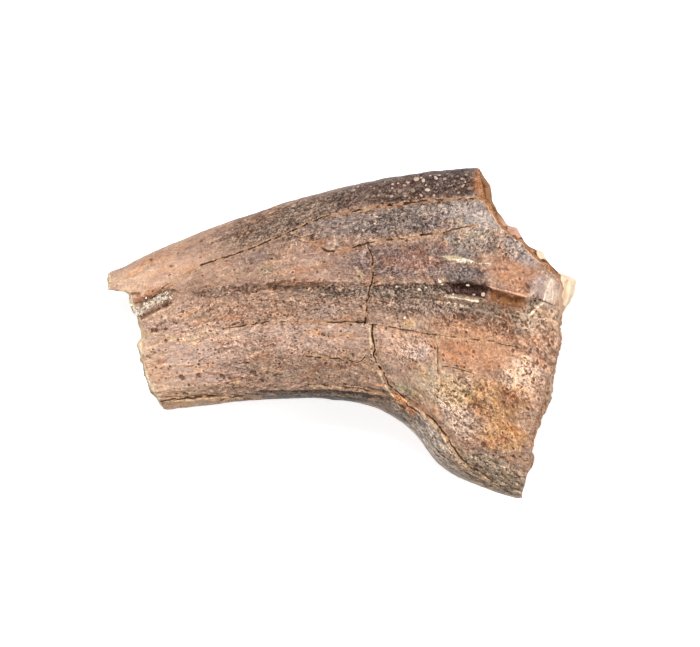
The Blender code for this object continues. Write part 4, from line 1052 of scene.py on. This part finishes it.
# ---------------------------------------------------------------------------------------------------------------
# The pale grains: rounded specks of lime, stuck to the back band and in the dark part of the groove.
GRAINS = (  # x, y and radius, in millimetres
    (6.40, 15.02, 0.20), (7.66, 15.70, 0.31), (7.24, 14.44, 0.35), (8.76, 14.54, 0.31), (8.35, 15.54, 0.25),
    (9.65, 15.75, 0.23), (10.54, 15.70, 0.23), (9.80, 15.12, 0.17), (11.52, 15.49, 0.19), (12.26, 15.70, 0.17),
    (12.73, 16.12, 0.19), (13.02, 14.70, 0.24), (11.21, 15.02, 0.13), (13.20, 15.80, 0.13), (6.67, 15.38, 0.13),
    (10.01, 12.88, 0.27), (8.24, 12.82, 0.19), (2.65, 13.93, 0.27), (1.08, 13.82, 0.18), (1.69, 14.95, 0.16),
    (5.79, 15.26, 0.15), (5.17, 14.75, 0.14), (3.94, 14.44, 0.15), (3.33, 14.75, 0.13), (-0.87, 13.26, 0.14),
    (0.36, 14.44, 0.14), (0.00, 10.70, 0.17), (2.20, 10.44, 0.15), (0.56, 10.24, 0.14), (11.83, 15.97, 0.13),
    (10.80, 16.23, 0.14), (9.06, 16.03, 0.15), (12.44, 15.05, 0.13), (6.91, 13.72, 0.16), (8.14, 13.93, 0.14),
    (10.70, 14.34, 0.15), (12.78, 4.83, 0.20), (13.43, 3.89, 0.17), (14.35, 3.92, 0.26), (9.96, 5.20, 0.19),
    (10.19, 4.92, 0.14), (7.87, 4.41, 0.19), (11.32, 3.94, 0.11), (8.55, 4.61, 0.13), (5.58, 4.71, 0.13),
    (6.40, 1.54, 0.16), (8.12, 15.84, 0.16), (5.22, 15.19, 0.16), (1.21, 14.56, 0.26), (3.26, 13.96, 0.22),
    (3.77, 14.01, 0.14), (4.97, 14.47, 0.18), (5.43, 14.47, 0.15), (5.91, 14.42, 0.22), (5.10, 13.91, 0.20),
    (4.60, 13.96, 0.15), (6.84, 15.33, 0.17), (9.57, 15.92, 0.14), (10.00, 16.10, 0.16), (10.94, 14.98, 0.15),
    (11.62, 14.64, 0.13), (12.31, 14.90, 0.16), (9.40, 13.96, 0.15), (8.04, 14.05, 0.14), (6.50, 13.96, 0.17),
    (0.53, 14.21, 0.18), (-0.15, 14.47, 0.14), (9.49, 13.41, 0.20), (4.45, 15.41, 0.14), (11.28, 16.00, 0.15),
    (7.60, 13.75, 0.12), (2.10, 14.35, 0.13), (8.60, 15.05, 0.12), (11.90, 14.25, 0.14), (12.60, 15.35, 0.12),
    (3.00, 14.95, 0.12), (-1.60, 13.60, 0.13), (-0.60, 13.90, 0.12), (9.83, 5.43, 0.10), (10.30, 5.40, 0.10),
)
bpy.ops.object.select_all(action="DESELECT")
bpy.ops.mesh.primitive_ico_sphere_add(subdivisions=2, radius=1.0, location=(0, 0, 0))
grain_pattern = bpy.context.object
bpy.ops.object.mode_set(mode="EDIT")
bpy.ops.mesh.select_all(action="SELECT")
bpy.ops.transform.vertex_random(offset=0.12, seed=3)
bpy.ops.object.mode_set(mode="OBJECT")
grains = []
for x, y, radius in GRAINS:
    spot, facing = top_of_bone(x, y)
    size = (radius, radius * random.uniform(0.75, 1.1), radius * 0.45)
    grains.append(place_copy(grain_pattern, spot, facing, random.uniform(0, 6), size))
bpy.data.objects.remove(grain_pattern)
grains = join_pieces(grains, "pale_grains")
bpy.ops.object.shade_smooth()


def lime_material():
    """Chalky lime with warm stains: off-white in the groove, and browner on the back band."""
    look = Finish("lime grain")
    warm = look.ramp(look.noise(look.here, 0.45, 3, 0.6), 0.42, 0.58)
    across = look.add("SeparateXYZ", {0: look.here}).outputs[1]
    back = look.blend(warm, (216, 192, 172), (150, 126, 106))
    groove = look.blend(warm, (255, 240, 214), (226, 204, 170))
    look.feed(look.surface["Base Color"], look.blend(look.ramp(across, 6.0, 9.0), groove, back))
    look.feed(look.surface["Roughness"], 0.6)
    bump = look.add("Bump", {"Strength": 0.5, "Distance": 0.00003, "Height": look.noise(look.here, 9.0)})
    look.feed(look.surface["Normal"], bump.outputs[0])
    return look.material


grains.data.materials.clear()
grains.data.materials.append(lime_material())
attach(grains, "root")

# ---------------------------------------------------------------------------------------------------------------
# The table: a smooth near-white board.
bpy.ops.object.select_all(action="DESELECT")
bpy.ops.mesh.primitive_plane_add(size=4, location=(0, 0, -0.00003))
table = bpy.context.object
table.name = "table"
board = bpy.data.materials.new("white board")
board.use_nodes = True
board_surface = board.node_tree.nodes["Principled BSDF"]
board_surface.inputs["Base Color"].default_value = (0.93, 0.93, 0.93, 1)
board_surface.inputs["Roughness"].default_value = 0.9
board_surface.inputs["Specular IOR Level"].default_value = 0.1
board_surface.inputs["Emission Color"].default_value = (1, 1, 1, 1)
board_surface.inputs["Emission Strength"].default_value = 0.55
table.data.materials.append(board)
table.visible_diffuse = False  # the board's own glow doesn't light the claw from below

# ---------------------------------------------------------------------------------------------------------------
# Light: a pale room, a wide soft lamp over the back edge and a weak one from each end.
scene = bpy.context.scene
scene.view_settings.view_transform = "Standard"
scene.world = bpy.data.worlds.new("pale room")
scene.world.use_nodes = True
sky = scene.world.node_tree.nodes["Background"]
sky.inputs["Color"].default_value = (1.0, 1.0, 1.0, 1)
sky.inputs["Strength"].default_value = 0.3


def add_lamp(name, place, size, watts):
    """A square lamp that shines at the claw."""
    bpy.ops.object.light_add(type="AREA", location=place)
    lamp = bpy.context.object
    lamp.name = name
    lamp.data.size = size
    lamp.data.energy = watts
    lamp.rotation_euler = (Vector((0, 0, 0.006)) - Vector(place)).to_track_quat("-Z", "Y").to_euler()


add_lamp("soft lamp over the back edge", (-0.08, 0.24, 0.42), 0.14, 1.42)
add_lamp("weak lamp from the tip end", (-0.35, -0.12, 0.35), 0.3, 0.9)
add_lamp("weak lamp from the joint end", (0.38, 0.02, 0.2), 0.3, 1.1)

# ---------------------------------------------------------------------------------------------------------------
# The camera looks straight down, from half a metre.
FRAME_WIDTH = 0.07168  # what the picture's width covers, at the claw's half height
bpy.ops.object.camera_add(location=(0, 0, 0), rotation=(0, 0, 0))
camera = bpy.context.object
camera.name = "camera"
camera.data.lens = 250
camera.data.sensor_width = 36
camera.data.clip_start = 0.01
camera.location = (0.00087, 0.00097, 0.007 + FRAME_WIDTH * camera.data.lens / camera.data.sensor_width)
scene.camera = camera
